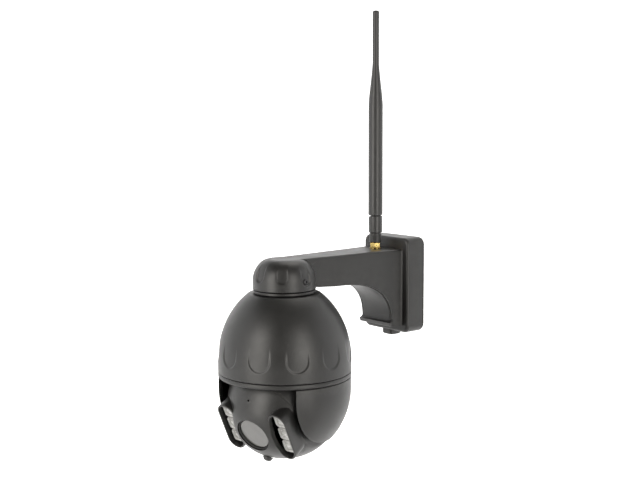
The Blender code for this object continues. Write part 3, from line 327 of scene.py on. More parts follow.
class Nodes:
    """A short way to write a material's node tree."""

    def __init__(self, name):
        self.material = bpy.data.materials.new(name)
        self.material.use_nodes = True
        self.tree = self.material.node_tree
        self.shader = self.tree.nodes["Principled BSDF"]
        self.place = self.add("ShaderNodeTexCoord").outputs["Object"]

    def fill(self, node, values):
        """Set or link a node's inputs by name, with underscores for spaces."""
        for key, value in values.items():
            socket = node.inputs[key.replace("_", " ")]
            if isinstance(value, bpy.types.NodeSocket):
                self.tree.links.new(value, socket)
            else:
                socket.default_value = value

    def add(self, kind, setting=None, **values):
        node = self.tree.nodes.new(kind)
        if setting:
            setattr(node, *setting)
        self.fill(node, values)
        return node

    def noise(self, scale, detail=3.0, roughness=0.55):
        node = self.add("ShaderNodeTexNoise", Vector=self.place, Scale=scale, Detail=detail,
                        Roughness=roughness)
        return node.outputs["Fac"]

    def cells(self, scale):
        return self.add("ShaderNodeTexVoronoi", Vector=self.place, Scale=scale).outputs["Distance"]

    def spread(self, source, from_low, from_high, to_low, to_high):
        node = self.add("ShaderNodeMapRange", Value=source, From_Min=from_low, From_Max=from_high,
                        To_Min=to_low, To_Max=to_high)
        return node.outputs["Result"]

    def mix(self, factor, first, second):
        first, second = [(*value, 1.0) if isinstance(value, tuple) else value for value in (first, second)]
        node = self.add("ShaderNodeMix", ("data_type", "RGBA"), Factor=factor, A=first, B=second)
        return node.outputs["Result"]

    def bump(self, height, strength, distance, **under):
        node = self.add("ShaderNodeBump", Height=height, Strength=strength, Distance=distance, **under)
        return node.outputs["Normal"]

    def edges(self, start, end):
        """0 on flats, 1 on exposed edges."""
        geometry = self.add("ShaderNodeNewGeometry")
        return self.spread(geometry.outputs["Pointiness"], start, end, 0.0, 1.0)

    def multiply(self, first, second):
        node = self.add("ShaderNodeMath", ("operation", "MULTIPLY"))
        self.tree.links.new(first, node.inputs[0])
        self.tree.links.new(second, node.inputs[1])
        return node.outputs["Value"]

    def finish(self, colour, roughness, normal, **values):
        self.fill(self.shader, {"Base Color": colour, "Roughness": roughness, "Normal": normal, **values})
        return self.material


def moulded_plastic(name, dark, light, edge, rough_low, rough_high, grain=2600.0, grain_depth=0.06):
    """Moulded plastic: cloudy tone, fine grain, faint handling marks and paler edges."""
    n = Nodes(name)
    clouds = n.spread(n.noise(38.0, 4.0), 0.3, 0.7, 0.0, 1.0)
    speckle = n.spread(n.noise(900.0, 2.0), 0.35, 0.65, 0.0, 0.25)
    tone = n.mix(speckle, n.mix(clouds, dark, light), light)
    worn = n.multiply(n.edges(0.52, 0.60), n.spread(n.noise(160.0, 4.0), 0.35, 0.7, 0.15, 0.8))
    smears = n.spread(n.noise(55.0, 5.0, 0.65), 0.3, 0.7, rough_low, rough_high)
    pores = n.bump(n.cells(grain), grain_depth, 0.05 * MM)
    waves = n.bump(n.noise(14.0, 2.0), 0.08, 0.6 * MM, Normal=pores)
    return n.finish(n.mix(worn, tone, edge), smears, waves, Specular_IOR_Level=0.5)


def rubber(name, dark, light):
    n = Nodes(name)
    return n.finish(n.mix(n.noise(60.0, 5.0), dark, light),
                    n.spread(n.noise(120.0, 3.0), 0.3, 0.7, 0.7, 0.9),
                    n.bump(n.noise(1500.0, 3.0), 0.35, 0.1 * MM), Specular_IOR_Level=0.3)


def metal(name, dark, light, rough_low, rough_high, brushed=(1.0, 1.0, 1.0), depth=0.15):
    """Metal with brush marks or plating haze, and brighter worn edges."""
    n = Nodes(name)
    stretched = n.add("ShaderNodeMapping", Vector=n.place, Scale=brushed).outputs["Vector"]
    marks = n.add("ShaderNodeTexNoise", Vector=stretched, Scale=700.0, Detail=5.0).outputs["Fac"]
    tone = n.mix(n.spread(n.noise(90.0, 4.0), 0.3, 0.7, 0.0, 1.0), dark, light)
    return n.finish(n.mix(n.edges(0.52, 0.62), tone, light),
                    n.spread(marks, 0.3, 0.7, rough_low, rough_high),
                    n.bump(marks, depth, 0.05 * MM), Metallic=1.0)


def window_glass(name):
    """Coated flat window: a pale warm grey face under a clear polished surface."""
    n = Nodes(name)
    haze = n.spread(n.noise(45.0, 2.0), 0.3, 0.7, 0.0, 1.0)
    return n.finish(n.mix(haze, (0.050, 0.049, 0.0465), (0.060, 0.059, 0.0555)),
                    n.spread(n.noise(300.0, 4.0), 0.3, 0.7, 0.10, 0.22),
                    n.bump(n.noise(25.0, 1.0), 0.03, 0.2 * MM), Coat_Weight=0.6, Coat_Roughness=0.04)


def lamp_lens(name):
    """Clear moulded optic over a white lamp: pale, glossy, a little uneven inside."""
    n = Nodes(name)
    inside = n.spread(n.cells(420.0), 0.0, 0.6, 0.0, 1.0)
    return n.finish(n.mix(inside, (0.42, 0.42, 0.41), (0.26, 0.26, 0.252)),
                    n.spread(n.noise(250.0, 3.0), 0.3, 0.7, 0.08, 0.2),
                    n.bump(n.cells(600.0), 0.12, 0.3 * MM), Coat_Weight=0.8, Coat_Roughness=0.03)


def circuit_board(name):
    n = Nodes(name)
    traces = n.add("ShaderNodeTexBrick", Vector=n.place, Scale=260.0, Mortar_Size=0.03).outputs["Fac"]
    tone = n.mix(n.noise(200.0, 2.0), (0.012, 0.09, 0.035), (0.02, 0.14, 0.05))
    return n.finish(n.mix(traces, tone, (0.05, 0.22, 0.09)),
                    n.spread(n.noise(400.0, 2.0), 0.3, 0.7, 0.25, 0.45), n.bump(traces, 0.3, 0.05 * MM))


def studio_paper(name, shade, glow):
    """Pale floor and backdrop, lit from within enough to read as an even studio white."""
    n = Nodes(name)
    n.fill(n.shader, {"Base Color": n.mix(n.noise(3.0, 2.0), shade, shade), "Roughness": 0.9,
                      "Emission Color": (1.0, 1.0, 1.0, 1.0), "Emission Strength": glow})
    return n.material


FINISHES = {
    "body_plastic": (moulded_plastic, (0.0062, 0.0060, 0.0057), (0.0090, 0.0087, 0.0082),
                     (0.022, 0.0213, 0.0203), 0.38, 0.47),
    "antenna_plastic": (moulded_plastic, (0.0110, 0.0108, 0.0106), (0.0160, 0.0157, 0.0154),
                        (0.030, 0.030, 0.029), 0.36, 0.46, 3400.0, 0.04),
    "inner_plastic": (moulded_plastic, (0.004, 0.004, 0.004), (0.007, 0.007, 0.007),
                      (0.012, 0.012, 0.012), 0.45, 0.6),
    "gear_plastic": (moulded_plastic, (0.62, 0.61, 0.57), (0.74, 0.73, 0.69), (0.8, 0.79, 0.76),
                     0.35, 0.5),
    "black_rubber": (rubber, (0.010, 0.010, 0.010), (0.020, 0.020, 0.019)),
    "steel": (metal, (0.42, 0.42, 0.43), (0.60, 0.60, 0.61), 0.28, 0.45, (1.0, 1.0, 0.06)),
    "dark_screw": (metal, (0.035, 0.035, 0.036), (0.075, 0.075, 0.077), 0.30, 0.48),
    "brass": (metal, (0.62, 0.42, 0.12), (0.86, 0.64, 0.24), 0.16, 0.30),
    "window_glass": (window_glass,),
    "led_lens": (lamp_lens,),
    "board_green": (circuit_board,),
}
MATERIALS = {name: make(name, *values) for name, (make, *values) in FINISHES.items()}


def dress_frame():
    """Give every carried-over CAD node its slot's material."""
    for entry in frame["record"]["subparts"]:
        mesh = frame["nodes"][entry["node"]].data
        mesh.materials.clear()
        mesh.materials.append(MATERIALS[entry["material_slot"]])


# ---- wall box and plate

BOX_CORNER = 6.0 * MM
BOX_FRONT_ROUND = 2.4 * MM
BOX_WALL = 2.4 * MM
LUG_SIZE, LUG_CORNER, LUG_Y = (12.6 * MM, 12.0 * MM), 2.6 * MM, -12.2 * MM
SCREW_HOLE, LOCK_COUNTERBORE, PORT_RADIUS = 1.9 * MM, 3.5 * MM, 6.0 * MM


def make_wall_box():
    """Moulded box, open to the wall, with rounded front edges and the lug under it."""
    corner, far = low("wall_box"), high("wall_box")
    width, front, rear = far.x - corner.x, low("cable_grommet").y + 0.5 * MM, far.y
    height = 2 * far.z
    inner_front = front + BOX_WALL
    steps = [(rear, 0.0), (front + BOX_FRONT_ROUND, 0.0)]
    for step in range(1, 7):
        angle = pi / 2 * step / 6
        steps.append((front + BOX_FRONT_ROUND * (1 - sin(angle)),
                      BOX_FRONT_ROUND * (1 - cos(angle))))
    sections = []
    for y, inset in steps:
        outline = rounded_rectangle(width - 2 * inset, height - 2 * inset, BOX_CORNER - 0.6 * inset, 10)
        sections.append([(x, y, z) for x, z in outline])
    box = make_object("wall_box_shell", loft(sections))
    inner = rounded_rectangle(width - 2 * BOX_WALL, height - 2 * BOX_WALL, BOX_CORNER - BOX_WALL + 0.5 * MM)
    cut(box, loft([[(x, y, z) for x, z in inner] for y in (inner_front, 5 * MM)]))
    lug_low, lug_high = corner.z, -far.z + MM
    lug_outline = rounded_rectangle(*LUG_SIZE, LUG_CORNER)
    lug_sections = []
    for z, inset in ((lug_high, 0.0), (lug_low + 1.2 * MM, 0.0), (lug_low + 0.4 * MM, 0.4 * MM),
                     (lug_low, 1.2 * MM)):
        scale = 1 - inset / (6.0 * MM)
        lug_sections.append([(x * scale, LUG_Y + y * scale, z) for x, y in lug_outline])
    join(box, loft(lug_sections))
    recess = high("lock_screw").z - 6.0 * MM - lug_low
    cut(box, moved(disc(SCREW_HOLE, -20 * MM, 20 * MM, 32), 0, LUG_Y, lug_high - 8 * MM))
    cut(box, moved(disc(LOCK_COUNTERBORE, -20 * MM, recess, 32), 0, LUG_Y, lug_low))
    cut(box, rod(PORT_RADIUS, 10 * MM, 30 * MM, 0, middle("cable_grommet")))
    for node in ("root_screw_upper", "root_screw_lower"):
        cut(box, rod(SCREW_HOLE, 10 * MM, 30 * MM, 0, middle(node), 24))
    for side in (-1, 1):
        near, away = sorted((side * 5.5 * MM, side * 13.5 * MM))
        join(box, block((near, -5.1 * MM, 29.9 * MM), (away, -2.2 * MM, far.z - MM)))
    return deliver(box, ARM_PLACE, "bracket", "body_plastic", "wall_box")


PLATE_HEIGHT, PLATE_THICKNESS, PLATE_CORNER, PLATE_EDGE = 72.0 * MM, 1.6 * MM, 5.0 * MM, 0.25 * MM
WALL_SCREW_RADIUS, WALL_SCREW_X, WALL_SCREW_Z = 2.3 * MM, 16 * MM, 26 * MM
HOOK = ((-0.8, 28.0), (-7.0, 28.0), (-7.0, 32.6), (-5.4, 32.6), (-5.4, 29.6), (-0.8, 29.6))


def make_wall_plate():
    """Zinc-plated plate with rounded stamped edges, wall screw holes, hooks and the screw tab."""
    corner, far = low("wall_plate"), high("wall_plate")
    width, thick = far.x - corner.x, PLATE_THICKNESS
    steps = ((0.0, PLATE_EDGE), (PLATE_EDGE, 0.0), (thick - PLATE_EDGE, 0.0), (thick, PLATE_EDGE))
    sections = []
    for depth, inset in steps:
        outline = rounded_rectangle(width - 2 * inset, PLATE_HEIGHT - 2 * inset, PLATE_CORNER)
        sections.append([(x, -depth, z) for x, z in outline])
    plate = make_object("wall_plate_steel", loft(sections))
    for x in (-WALL_SCREW_X, WALL_SCREW_X):
        for z in (-WALL_SCREW_Z, WALL_SCREW_Z):
            cut(plate, rod(WALL_SCREW_RADIUS, -5 * MM, 5 * MM, x, z, 40))
    cut(plate, rod(8.0 * MM, -5 * MM, 5 * MM, 0, -14 * MM))
    for side in (-1, 1):
        near, away = sorted((side * 6 * MM, side * 13 * MM))
        join(plate, loft([[(x, y, z) for y, z in in_mm(*HOOK)] for x in (near, away)]))
    join(plate, block((-6 * MM, -15.5 * MM, -35.9 * MM), (6 * MM, -0.8 * MM, -34.3 * MM)))
    cut(plate, moved(disc(SCREW_HOLE, -5 * MM, 5 * MM, 32), 0, LUG_Y, -35.1 * MM))
    return deliver(plate, ARM_PLACE, "bracket", "steel", "wall_plate")


# ---- arm and neck cap

ARM_WALL = 2.6 * MM
ARM_EDGE = 2.0 * MM
ARM_TIP_HALF, ARM_ROOT_HALF = 11.6 * MM, 19.0 * MM
ARM_FLARE, ARM_FLARE_LENGTH = 1.6 * MM, 22.0 * MM
ROOT_FILLET = 1.2 * MM
PANEL_RISE, PANEL_ROUND, PANEL_GROOVE, PANEL_WALL = 0.7 * MM, 0.8 * MM, 0.9 * MM, 1.3 * MM
CURVE_START, CURVE_END, CURVE_POWER = -86.0 * MM, -29.0 * MM, 2.7
CURVE_TOP, FOOT = 5.8 * MM, -34.0 * MM
NECK_EDGE = -104.6 * MM
CAP_SHOULDER, CAP_FLAT = 14.0 * MM, 11.0 * MM
SCOOP_HALF_WIDTH, SCOOP_DEPTH, SCOOP_EDGE = 5.4 * MM, 1.2 * MM, 1.7 * MM
SCOOP_ANGLES = (0.0, 48.0, -48.0, 96.0, -96.0)
NECK_SCREW_ANGLE, NECK_SCREW_HEIGHT = 96.0, 14.5 * MM
LIP_TOP, LIP_REAR = FOOT + 5.1 * MM, -26 * MM
PANEL_FOOT = FOOT + 4.9 * MM

ARM_TOP = high("bracket_arm").z
ARM_REAR = high("bracket_arm").y
NECK_SEAM = high("neck_ring").z + 0.6 * MM
CAP_RADIUS = PAN_POINT.y - low("bracket_arm").y


def arm_half_width(y):
    along = (y - PAN_POINT.y) / (ARM_REAR - PAN_POINT.y)
    flare = max(0.0, 1 - (ARM_REAR - y) / ARM_FLARE_LENGTH)
    short = min(1.0, max(0.0, 1 - (ARM_REAR - y) / ROOT_FILLET))
    fillet = ROOT_FILLET * (1 - sqrt(1 - short ** 2))
    return ARM_TIP_HALF + (ARM_ROOT_HALF - ARM_TIP_HALF) * along + ARM_FLARE * flare ** 2 + fillet


def underside(y):
    """Height of the arm's lower edge: a slight fall from the neck, then part of a superellipse."""
    if y <= CURVE_START:
        share = min(1.0, (CURVE_START - y) / (CURVE_START - NECK_EDGE))
        return CURVE_TOP + (NECK_SEAM - CURVE_TOP) * share
    share = min(1.0, (y - CURVE_START) / (CURVE_END - CURVE_START))
    return FOOT + (CURVE_TOP - FOOT) * (1 - share ** CURVE_POWER) ** (1 / CURVE_POWER)


def underside_points(count):
    points = []
    for step in range(count + 1):
        share = sin(pi / 2 * step / count) ** (2 / CURVE_POWER)
        y = CURVE_START + (CURVE_END - CURVE_START) * share
        points.append((y, underside(y)))
    return points


def arm_section(y, floor, inset, drop, edge):
    half, top = arm_half_width(y) - inset, ARM_TOP - drop
    right = [(half, floor)] + arc(half - edge, top - edge, edge, 0, 90, 6)
    return [(x, y, z) for x, z in right + [(-x, z) for x, z in reversed(right)]]


def cap_radius(height):
    """Outside radius of the neck cap at a height above its seam."""
    if height <= CAP_SHOULDER:
        return CAP_RADIUS
    share = min(1.0, (height - CAP_SHOULDER) / (ARM_TOP - CAP_SHOULDER))
    sine = share ** (1 / 1.15)
    return CAP_FLAT + (CAP_RADIUS - CAP_FLAT) * sqrt(max(0.0, 1 - sine ** 2)) ** 0.9


def scoop_depth(azimuth, height):
    """Depth of the thumb-shaped scoops in the neck cap at an azimuth in degrees."""
    deepest = 0.0
    for centre in SCOOP_ANGLES:
        bottom = 10.6 * MM if abs(centre) > 90 else 13.0 * MM
        turn = (azimuth - centre + 180) % 360 - 180
        across = radians(turn) * CAP_RADIUS
        above = height - bottom - SCOOP_HALF_WIDTH
        reach = hypot(across, min(0.0, above))
        inside = smooth((SCOOP_HALF_WIDTH - reach) / SCOOP_EDGE)
        fade = 1 - smooth(above / (11.0 * MM))
        deepest = max(deepest, SCOOP_DEPTH * inside * fade)
    return deepest


def make_cap():
    """Closed neck cap with scoops round it and a rounded lower rim."""
    heights = [NECK_SEAM + 0.35 * MM + step * 0.5 * MM for step in range(46)]
    heights = [height for height in heights if height < ARM_TOP - 1.5 * MM]
    for extra in (1.2, 0.8, 0.45, 0.2, 0.07, 0.0):
        heights.append(ARM_TOP - extra * MM)
    rings = [(CAP_RADIUS - 0.35 * MM, NECK_SEAM, 1), (CAP_RADIUS - 0.1 * MM, NECK_SEAM + 0.1 * MM, 1)]
    rings += [(cap_radius(height), height, 1) for height in heights]
    return placed(turned(rings, 480, scoop_depth), NECK_PLACE)


def make_foot_lip():
    """Ledge across the foot of the arm: a front that leans out, with a hollow ramp up to the panel."""
    outline = [(LIP_REAR, FOOT), (-31.4 * MM, FOOT), (-31.8 * MM, FOOT + 0.3 * MM)]
    outline += [(-32.8 * MM, FOOT + 2.9 * MM), (-32.75 * MM, FOOT + 3.1 * MM)]
    for step in range(9):
        angle = radians(20 + 50 * step / 8)
        outline.append((-33.4 * MM + 3.9 * MM * sin(angle), FOOT + (5.9 - 2.8 * cos(angle)) * MM))
    outline.append((LIP_REAR, LIP_TOP))
    half = arm_half_width(-30 * MM) - 0.05 * MM
    return loft([[(x, y, z) for y, z in outline] for x in (-half, half)])


def make_bracket_arm():
    """Hollow arm in one piece with the neck cap, its foot lip standing a little proud."""
    stations = [(PAN_POINT.y, NECK_SEAM), (NECK_EDGE, NECK_SEAM)] + underside_points(28)
    stations += [(y * MM, FOOT) for y in (-27.0, -25.0)]
    for step in range(9):
        stations.append((ARM_REAR - ROOT_FILLET * (1 - sin(pi / 2 * step / 8)), FOOT))
    arm = make_object("arm_shell", loft([arm_section(y, floor, 0, 0, ARM_EDGE) for y, floor in stations]))
    join(arm, make_cap())
    hollow = [y * MM for y in (-124, -90, -60, -42, -32, -22.4)]
    cut(arm, loft([arm_section(y, FOOT + 2.4 * MM, ARM_WALL, ARM_WALL, MM) for y in hollow]))
    below = [(y * MM, -60 * MM) for y in (-104, -80, -60, -42, -34, -29.4)]
    cut(arm, loft([arm_section(y, floor, PANEL_WALL, 28 * MM, MM) for y, floor in below]))
    join(arm, make_foot_lip())
    inside = [(0, NECK_SEAM - MM), (22.6 * MM, NECK_SEAM - MM), (22.6 * MM, 15 * MM), (19.0 * MM, 21 * MM),
              (10 * MM, 28 * MM), (0, 28 * MM)]
    cut(arm, placed(lathe(inside, 96), NECK_PLACE))
    for angle in (-NECK_SCREW_ANGLE, NECK_SCREW_ANGLE):
        radial = NECK_PLACE @ Matrix.Rotation(radians(angle), 4, "Z") @ \
            Matrix.Translation((0, 0, NECK_SCREW_HEIGHT)) @ FORWARD
        cut(arm, placed(disc(SCREW_HOLE, 15 * MM, 40 * MM, 24), radial))
    cut(arm, moved(disc(3.5 * MM, ARM_TOP - 5 * MM, ARM_TOP + MM, 48), 0, WHIP_PIN.y, 0))
    cut(arm, rod(PORT_RADIUS, 15 * MM, 24 * MM, 0, 6 * MM))
    return deliver(arm, ARM_PLACE, "bracket", "body_plastic", "bracket_arm", sharp=28.0)


def make_arm_cover():
    """Curved panel set between the arm's side walls, with rounded long edges."""
    line = [(NECK_EDGE + MM, underside(NECK_EDGE + MM))] + underside_points(36)
    line = [(y, z) for y, z in line if z > FOOT + 5.2 * MM] + [(CURVE_END - 0.2 * MM, PANEL_FOOT)]
    sections = []
    for index, (y, z) in enumerate(line):
        before, after = Vector(line[max(0, index - 1)]), Vector(line[min(len(line) - 1, index + 1)])
        along = (after - before).normalized()
        half = arm_half_width(y) - PANEL_WALL - PANEL_GROOVE
        edge = arc(half - PANEL_ROUND, PANEL_ROUND - PANEL_RISE, PANEL_ROUND, -90, 0, 5)
        edge += [(half, 2.4 * MM)]
        outline = edge + [(-x, depth) for x, depth in reversed(edge)]
        sections.append([(x, y - along.y * depth, max(z + along.x * depth, PANEL_FOOT))
                         for x, depth in outline])
    cover = make_object("arm_panel", loft(sections))
    spot = (low("cover_screw") + high("cover_screw")) / 2
    cut(cover, moved(disc(SCREW_HOLE, -30 * MM, 30 * MM, 24), spot.x, spot.y, spot.z))
    return deliver(cover, ARM_PLACE, "bracket", "body_plastic", "arm_cover")


# ---- screws

def screw_solid(head_radius, head_height, shank_radius, length):
    """Pan-head screw along Z with its seat at z = 0, a rounded head and a hexagon socket."""
    head = [(head_radius, 0), (head_radius, head_height * 0.35)]
    head += [(head_radius * cos(angle), head_height * (0.35 + 0.65 * sin(angle)))
             for angle in (0.3, 0.6, 0.9, 1.2)]
    profile = [(0, -length), (shank_radius * 0.6, -length), (shank_radius, -length * 0.9),
               (shank_radius, 0)]
    screw = make_object("screw", lathe(profile + head + [(0, head_height)], 40))
    cut(screw, prism(hexagon(head_radius * 0.48), head_height * 0.25, head_height * 3))
    return screw


def make_screw(node, size, seat, direction, slot_name, body):
    """A fine screw in a CAD screw's place, its head pointing along direction."""
    screw = screw_solid(*size)
    screw.name = node + "_fine"
    turn = Vector((0, 0, 1)).rotation_difference(direction).to_matrix().to_4x4()
    return deliver(screw, Matrix.Translation(seat) @ turn, body, slot_name, node)


def make_screws():
    for node, angle in (("neck_screw_left", -NECK_SCREW_ANGLE), ("neck_screw_right", NECK_SCREW_ANGLE)):
        direction = Vector((sin(radians(angle)), -cos(radians(angle)), 0))
        seat = Vector((PAN_POINT.x, PAN_POINT.y, NECK_SCREW_HEIGHT)) + direction * 23.9 * MM
        make_screw(node, (2.2 * MM, 1.2 * MM, 1.5 * MM, 4 * MM), seat, direction, "dark_screw", "bracket")
    lock = low("lock_screw")
    make_screw("lock_screw", (2.9 * MM, 2.2 * MM, 1.5 * MM, 8.5 * MM),
               Vector((0, LUG_Y, lock.z + 2.2 * MM)), Vector((0, 0, -1)), "dark_screw", "bracket")
    cover = low("cover_screw")
    make_screw("cover_screw", (2.8 * MM, 1.6 * MM, 1.3 * MM, 9 * MM),
               Vector((0, -78 * MM, cover.z + 1.6 * MM)), Vector((0, 0, -1)), "dark_screw", "bracket")
    rear = HEAD_PLACE.to_3x3() @ Vector((0, 1, 0))
    for node, height in (("head_screw_upper", HEAD_SCREW_Z), ("head_screw_lower", -HEAD_SCREW_Z)):
        seat = HEAD_PLACE @ Vector((0, head_screw_seat(), height))
        make_screw(node, (2.6 * MM, 1.4 * MM, 1.4 * MM, 7 * MM), seat, rear, "dark_screw", "head")


# ---- antenna

STUD_BORE = 3.4 * MM
THREAD_RADIUS, THREAD_PITCH, THREAD_DEPTH = 3.1 * MM, 0.7 * MM, 0.28 * MM
COLLAR_RADIUS, COLLAR_RIBS, RIB_DEPTH = 5.1 * MM, 24, 0.3 * MM
TONGUE_RADIUS, TONGUE_HALF = 3.8 * MM, 2.2 * MM
TIP_RADIUS, TIP_LENGTH, TAPER_DROP = 2.75 * MM, 43 * MM, 78 * MM


def make_washer_and_nut():
    (bottom, top), rim = span("antenna_washer"), high("antenna_washer").x
    washer = [(STUD_BORE, bottom), (rim - 0.1 * MM, bottom), (rim, bottom + 0.1 * MM),
              (rim, top - 0.1 * MM), (rim - 0.1 * MM, top), (STUD_BORE, top)]
    deliver(make_object("antenna_washer_fine", lathe(washer, 72)), ANTENNA_PLACE,
            "bracket", "brass", "antenna_washer")
    nut_low, nut_high = span("antenna_nut")
    corner = high("antenna_nut").x
    nut = make_object("antenna_nut_fine", prism(hexagon(corner, 0.2), nut_low, nut_high))
    flat, wide = corner - 0.6 * MM, corner + 0.2 * MM
    chamfer = [(0, nut_low), (flat, nut_low), (wide, nut_low + 0.45 * MM), (wide, nut_high - 0.45 * MM),
               (flat, nut_high), (0, nut_high)]
    common(nut, lathe(chamfer, 96))
    cut(nut, disc(STUD_BORE, nut_low - MM, nut_high + MM))
    deliver(nut, ANTENNA_PLACE, "bracket", "brass", "antenna_nut")


def thread_depth(azimuth, height):
    turns = height / THREAD_PITCH - (azimuth - 90) / 360
    return THREAD_DEPTH * (0.5 + 0.5 * cos(2 * pi * turns))


def make_thread():
    """Threaded bulkhead barrel, its thread cut as a fine helix."""
    bottom, top = span("antenna_bulkhead")
    flange = bottom + 2.7 * MM
    rings = [(4.6 * MM, bottom, 0), (4.6 * MM, flange, 0), (THREAD_RADIUS, flange, 0)]
    steps = int((top - flange) / (THREAD_PITCH / 6))
    rings += [(THREAD_RADIUS, flange + (top - flange) * step / steps, 1) for step in range(1, steps)]
    thread = turned(rings + [(2.7 * MM, top, 0)], 48, thread_depth)
    return deliver(make_object("antenna_bulkhead_fine", thread), ANTENNA_PLACE,
                   "bracket", "brass", "antenna_bulkhead", sharp=50.0)


def rib_depth(azimuth, height):
    return RIB_DEPTH * max(0.0, cos(radians(COLLAR_RIBS * (azimuth - 90)))) ** 3


def make_collar():
    """Coupling collar with grip ribs round its middle."""
    (bottom, top), radius = span("antenna_collar"), COLLAR_RADIUS
    rings = [(4.5 * MM, bottom, 0), (4.9 * MM, bottom + 0.15 * MM, 0), (radius, bottom + 0.5 * MM, 0),
             (radius, bottom + 1.0 * MM, 0), (radius, bottom + 1.2 * MM, 0.5),
             (radius, bottom + 1.4 * MM, 1), (radius, top - 1.6 * MM, 1), (radius, top - 1.4 * MM, 0.5),
             (radius, top - 1.2 * MM, 0), (radius, top - 0.5 * MM, 0), (4.9 * MM, top - 0.15 * MM, 0),
             (4.5 * MM, top, 0)]
    collar = make_object("antenna_collar_fine", turned(rings, 288, rib_depth))
    cut(collar, disc(STUD_BORE, bottom - MM, high("antenna_bulkhead").z + 0.3 * MM))
    return deliver(collar, ANTENNA_PLACE, "bracket", "antenna_plastic", "antenna_collar")


def make_sleeve():
    """Swivelling forked sleeve: rounded rims and the slot for the whip."""
    bottom, pin = low("antenna_knuckle").z, WHIP_PIN.z
    radius = (high("antenna_knuckle").x - low("antenna_knuckle").x) / 2
    top = pin + radius
    outline = [(0, bottom), (radius - 0.5 * MM, bottom), (radius - 0.1 * MM, bottom + 0.15 * MM),
               (radius, bottom + 0.5 * MM), (radius, top - 0.5 * MM), (radius - 0.15 * MM, top - 0.12 * MM),
               (radius - 0.5 * MM, top), (0, top)]
    sleeve = make_object("antenna_sleeve", lathe(outline, 96))
    corner = make_object("corner", block((-20 * MM, -20 * MM, pin + MM),
                                         (-0.7 * MM, 20 * MM, pin + 20 * MM)))
    cut(corner, rod(radius + 0.02 * MM, -30 * MM, 30 * MM, 0, pin, 96))
    cut(sleeve, as_bmesh(corner))
    cut(sleeve, block((-10 * MM, -2.5 * MM, pin - TONGUE_RADIUS - 0.6 * MM),
                      (TONGUE_RADIUS + 0.3 * MM, 2.5 * MM, pin + 10 * MM)))
    cut(sleeve, rod(1.3 * MM, -10 * MM, 4.4 * MM, 0, pin, 40))
    round_edges(sleeve, 0.15 * MM, 50.0)
    return deliver(sleeve, ANTENNA_PLACE, "antenna_base", "antenna_plastic", "antenna_knuckle")


def make_whip():
    """Long sleeve that tapers to a thinner tip, with the hinge tongue at its foot."""
    pin, top = WHIP_PIN.z, high("antenna_whip").z
    radius = (high("antenna_whip").x - low("antenna_whip").x) / 2
    tip = TIP_RADIUS
    start = pin + 5.8 * MM + 0.6 * MM
    tip_start, taper_start = top - TIP_LENGTH, top - TAPER_DROP
    profile = [(0, start), (radius - 0.9 * MM, start), (radius - 0.3 * MM, start + 0.2 * MM),
               (radius, start + 0.8 * MM)]
    profile += [(radius, start + share * (taper_start - start)) for share in (0.25, 0.5, 0.75)]
    for step in range(25):
        share = step / 24
        blend = 0.5 * share + 0.5 * smooth(share)
        profile.append((radius + (tip - radius) * blend, taper_start + (tip_start - taper_start) * share))
    profile += [(tip, top - 1.8 * MM), (tip * 0.94, top - 0.9 * MM), (tip * 0.75, top - 0.3 * MM),
                (tip * 0.4, top - 0.06 * MM), (0, top)]
    whip = make_object("antenna_whip_fine", lathe(profile, 96))
    join(whip, rod(TONGUE_RADIUS, -TONGUE_HALF, TONGUE_HALF, 0, pin, 64))
    join(whip, block((-TONGUE_RADIUS, -TONGUE_HALF, pin), (TONGUE_RADIUS, TONGUE_HALF, start + 2 * MM)))
    cut(whip, rod(1.4 * MM, -10 * MM, 10 * MM, 0, pin, 40))
    return deliver(whip, ANTENNA_PLACE, "antenna_whip", "antenna_plastic", "antenna_whip")


# ---- dome

DOME_RADIUS = 53.4 * MM
DOME_WALL = 2.4 * MM
UPPER_CENTRE, UPPER_HEIGHT = -50.35 * MM, 63.8 * MM
UPPER_BOTTOM, UPPER_TOP = span("upper_shell")
FLUTES = 11
FLUTE_HALF_WIDTH = 9.5 * MM
FLUTE_BOTTOM, FLUTE_FADE = UPPER_BOTTOM + 7.8 * MM, -30.0 * MM
FLUTE_DEPTH, FLUTE_EDGE = 0.75 * MM, 1.5 * MM


def upper_radius(height, shrink=0.0):
    if height <= UPPER_CENTRE:
        return DOME_RADIUS - shrink
    share = (height - UPPER_CENTRE) / (UPPER_HEIGHT - shrink)
    return (DOME_RADIUS - shrink) * sqrt(max(0.0, 1 - share ** 2))


def flute_depth(azimuth, height):
    """Depth of the U-shaped flutes above the rim, centred half a pitch either side of the front."""
    pitch = 360.0 / FLUTES
    turn = (azimuth - pitch / 2) % pitch
    turn = min(turn, pitch - turn)
    across = radians(turn) * DOME_RADIUS
    above = height - FLUTE_BOTTOM - FLUTE_HALF_WIDTH
    reach = hypot(across, min(0.0, above))
    inside = smooth((FLUTE_HALF_WIDTH - reach) / FLUTE_EDGE)
    fade = 1 - smooth((height - FLUTE_BOTTOM - 3 * MM) / (FLUTE_FADE - FLUTE_BOTTOM - 3 * MM))
    return FLUTE_DEPTH * inside * fade


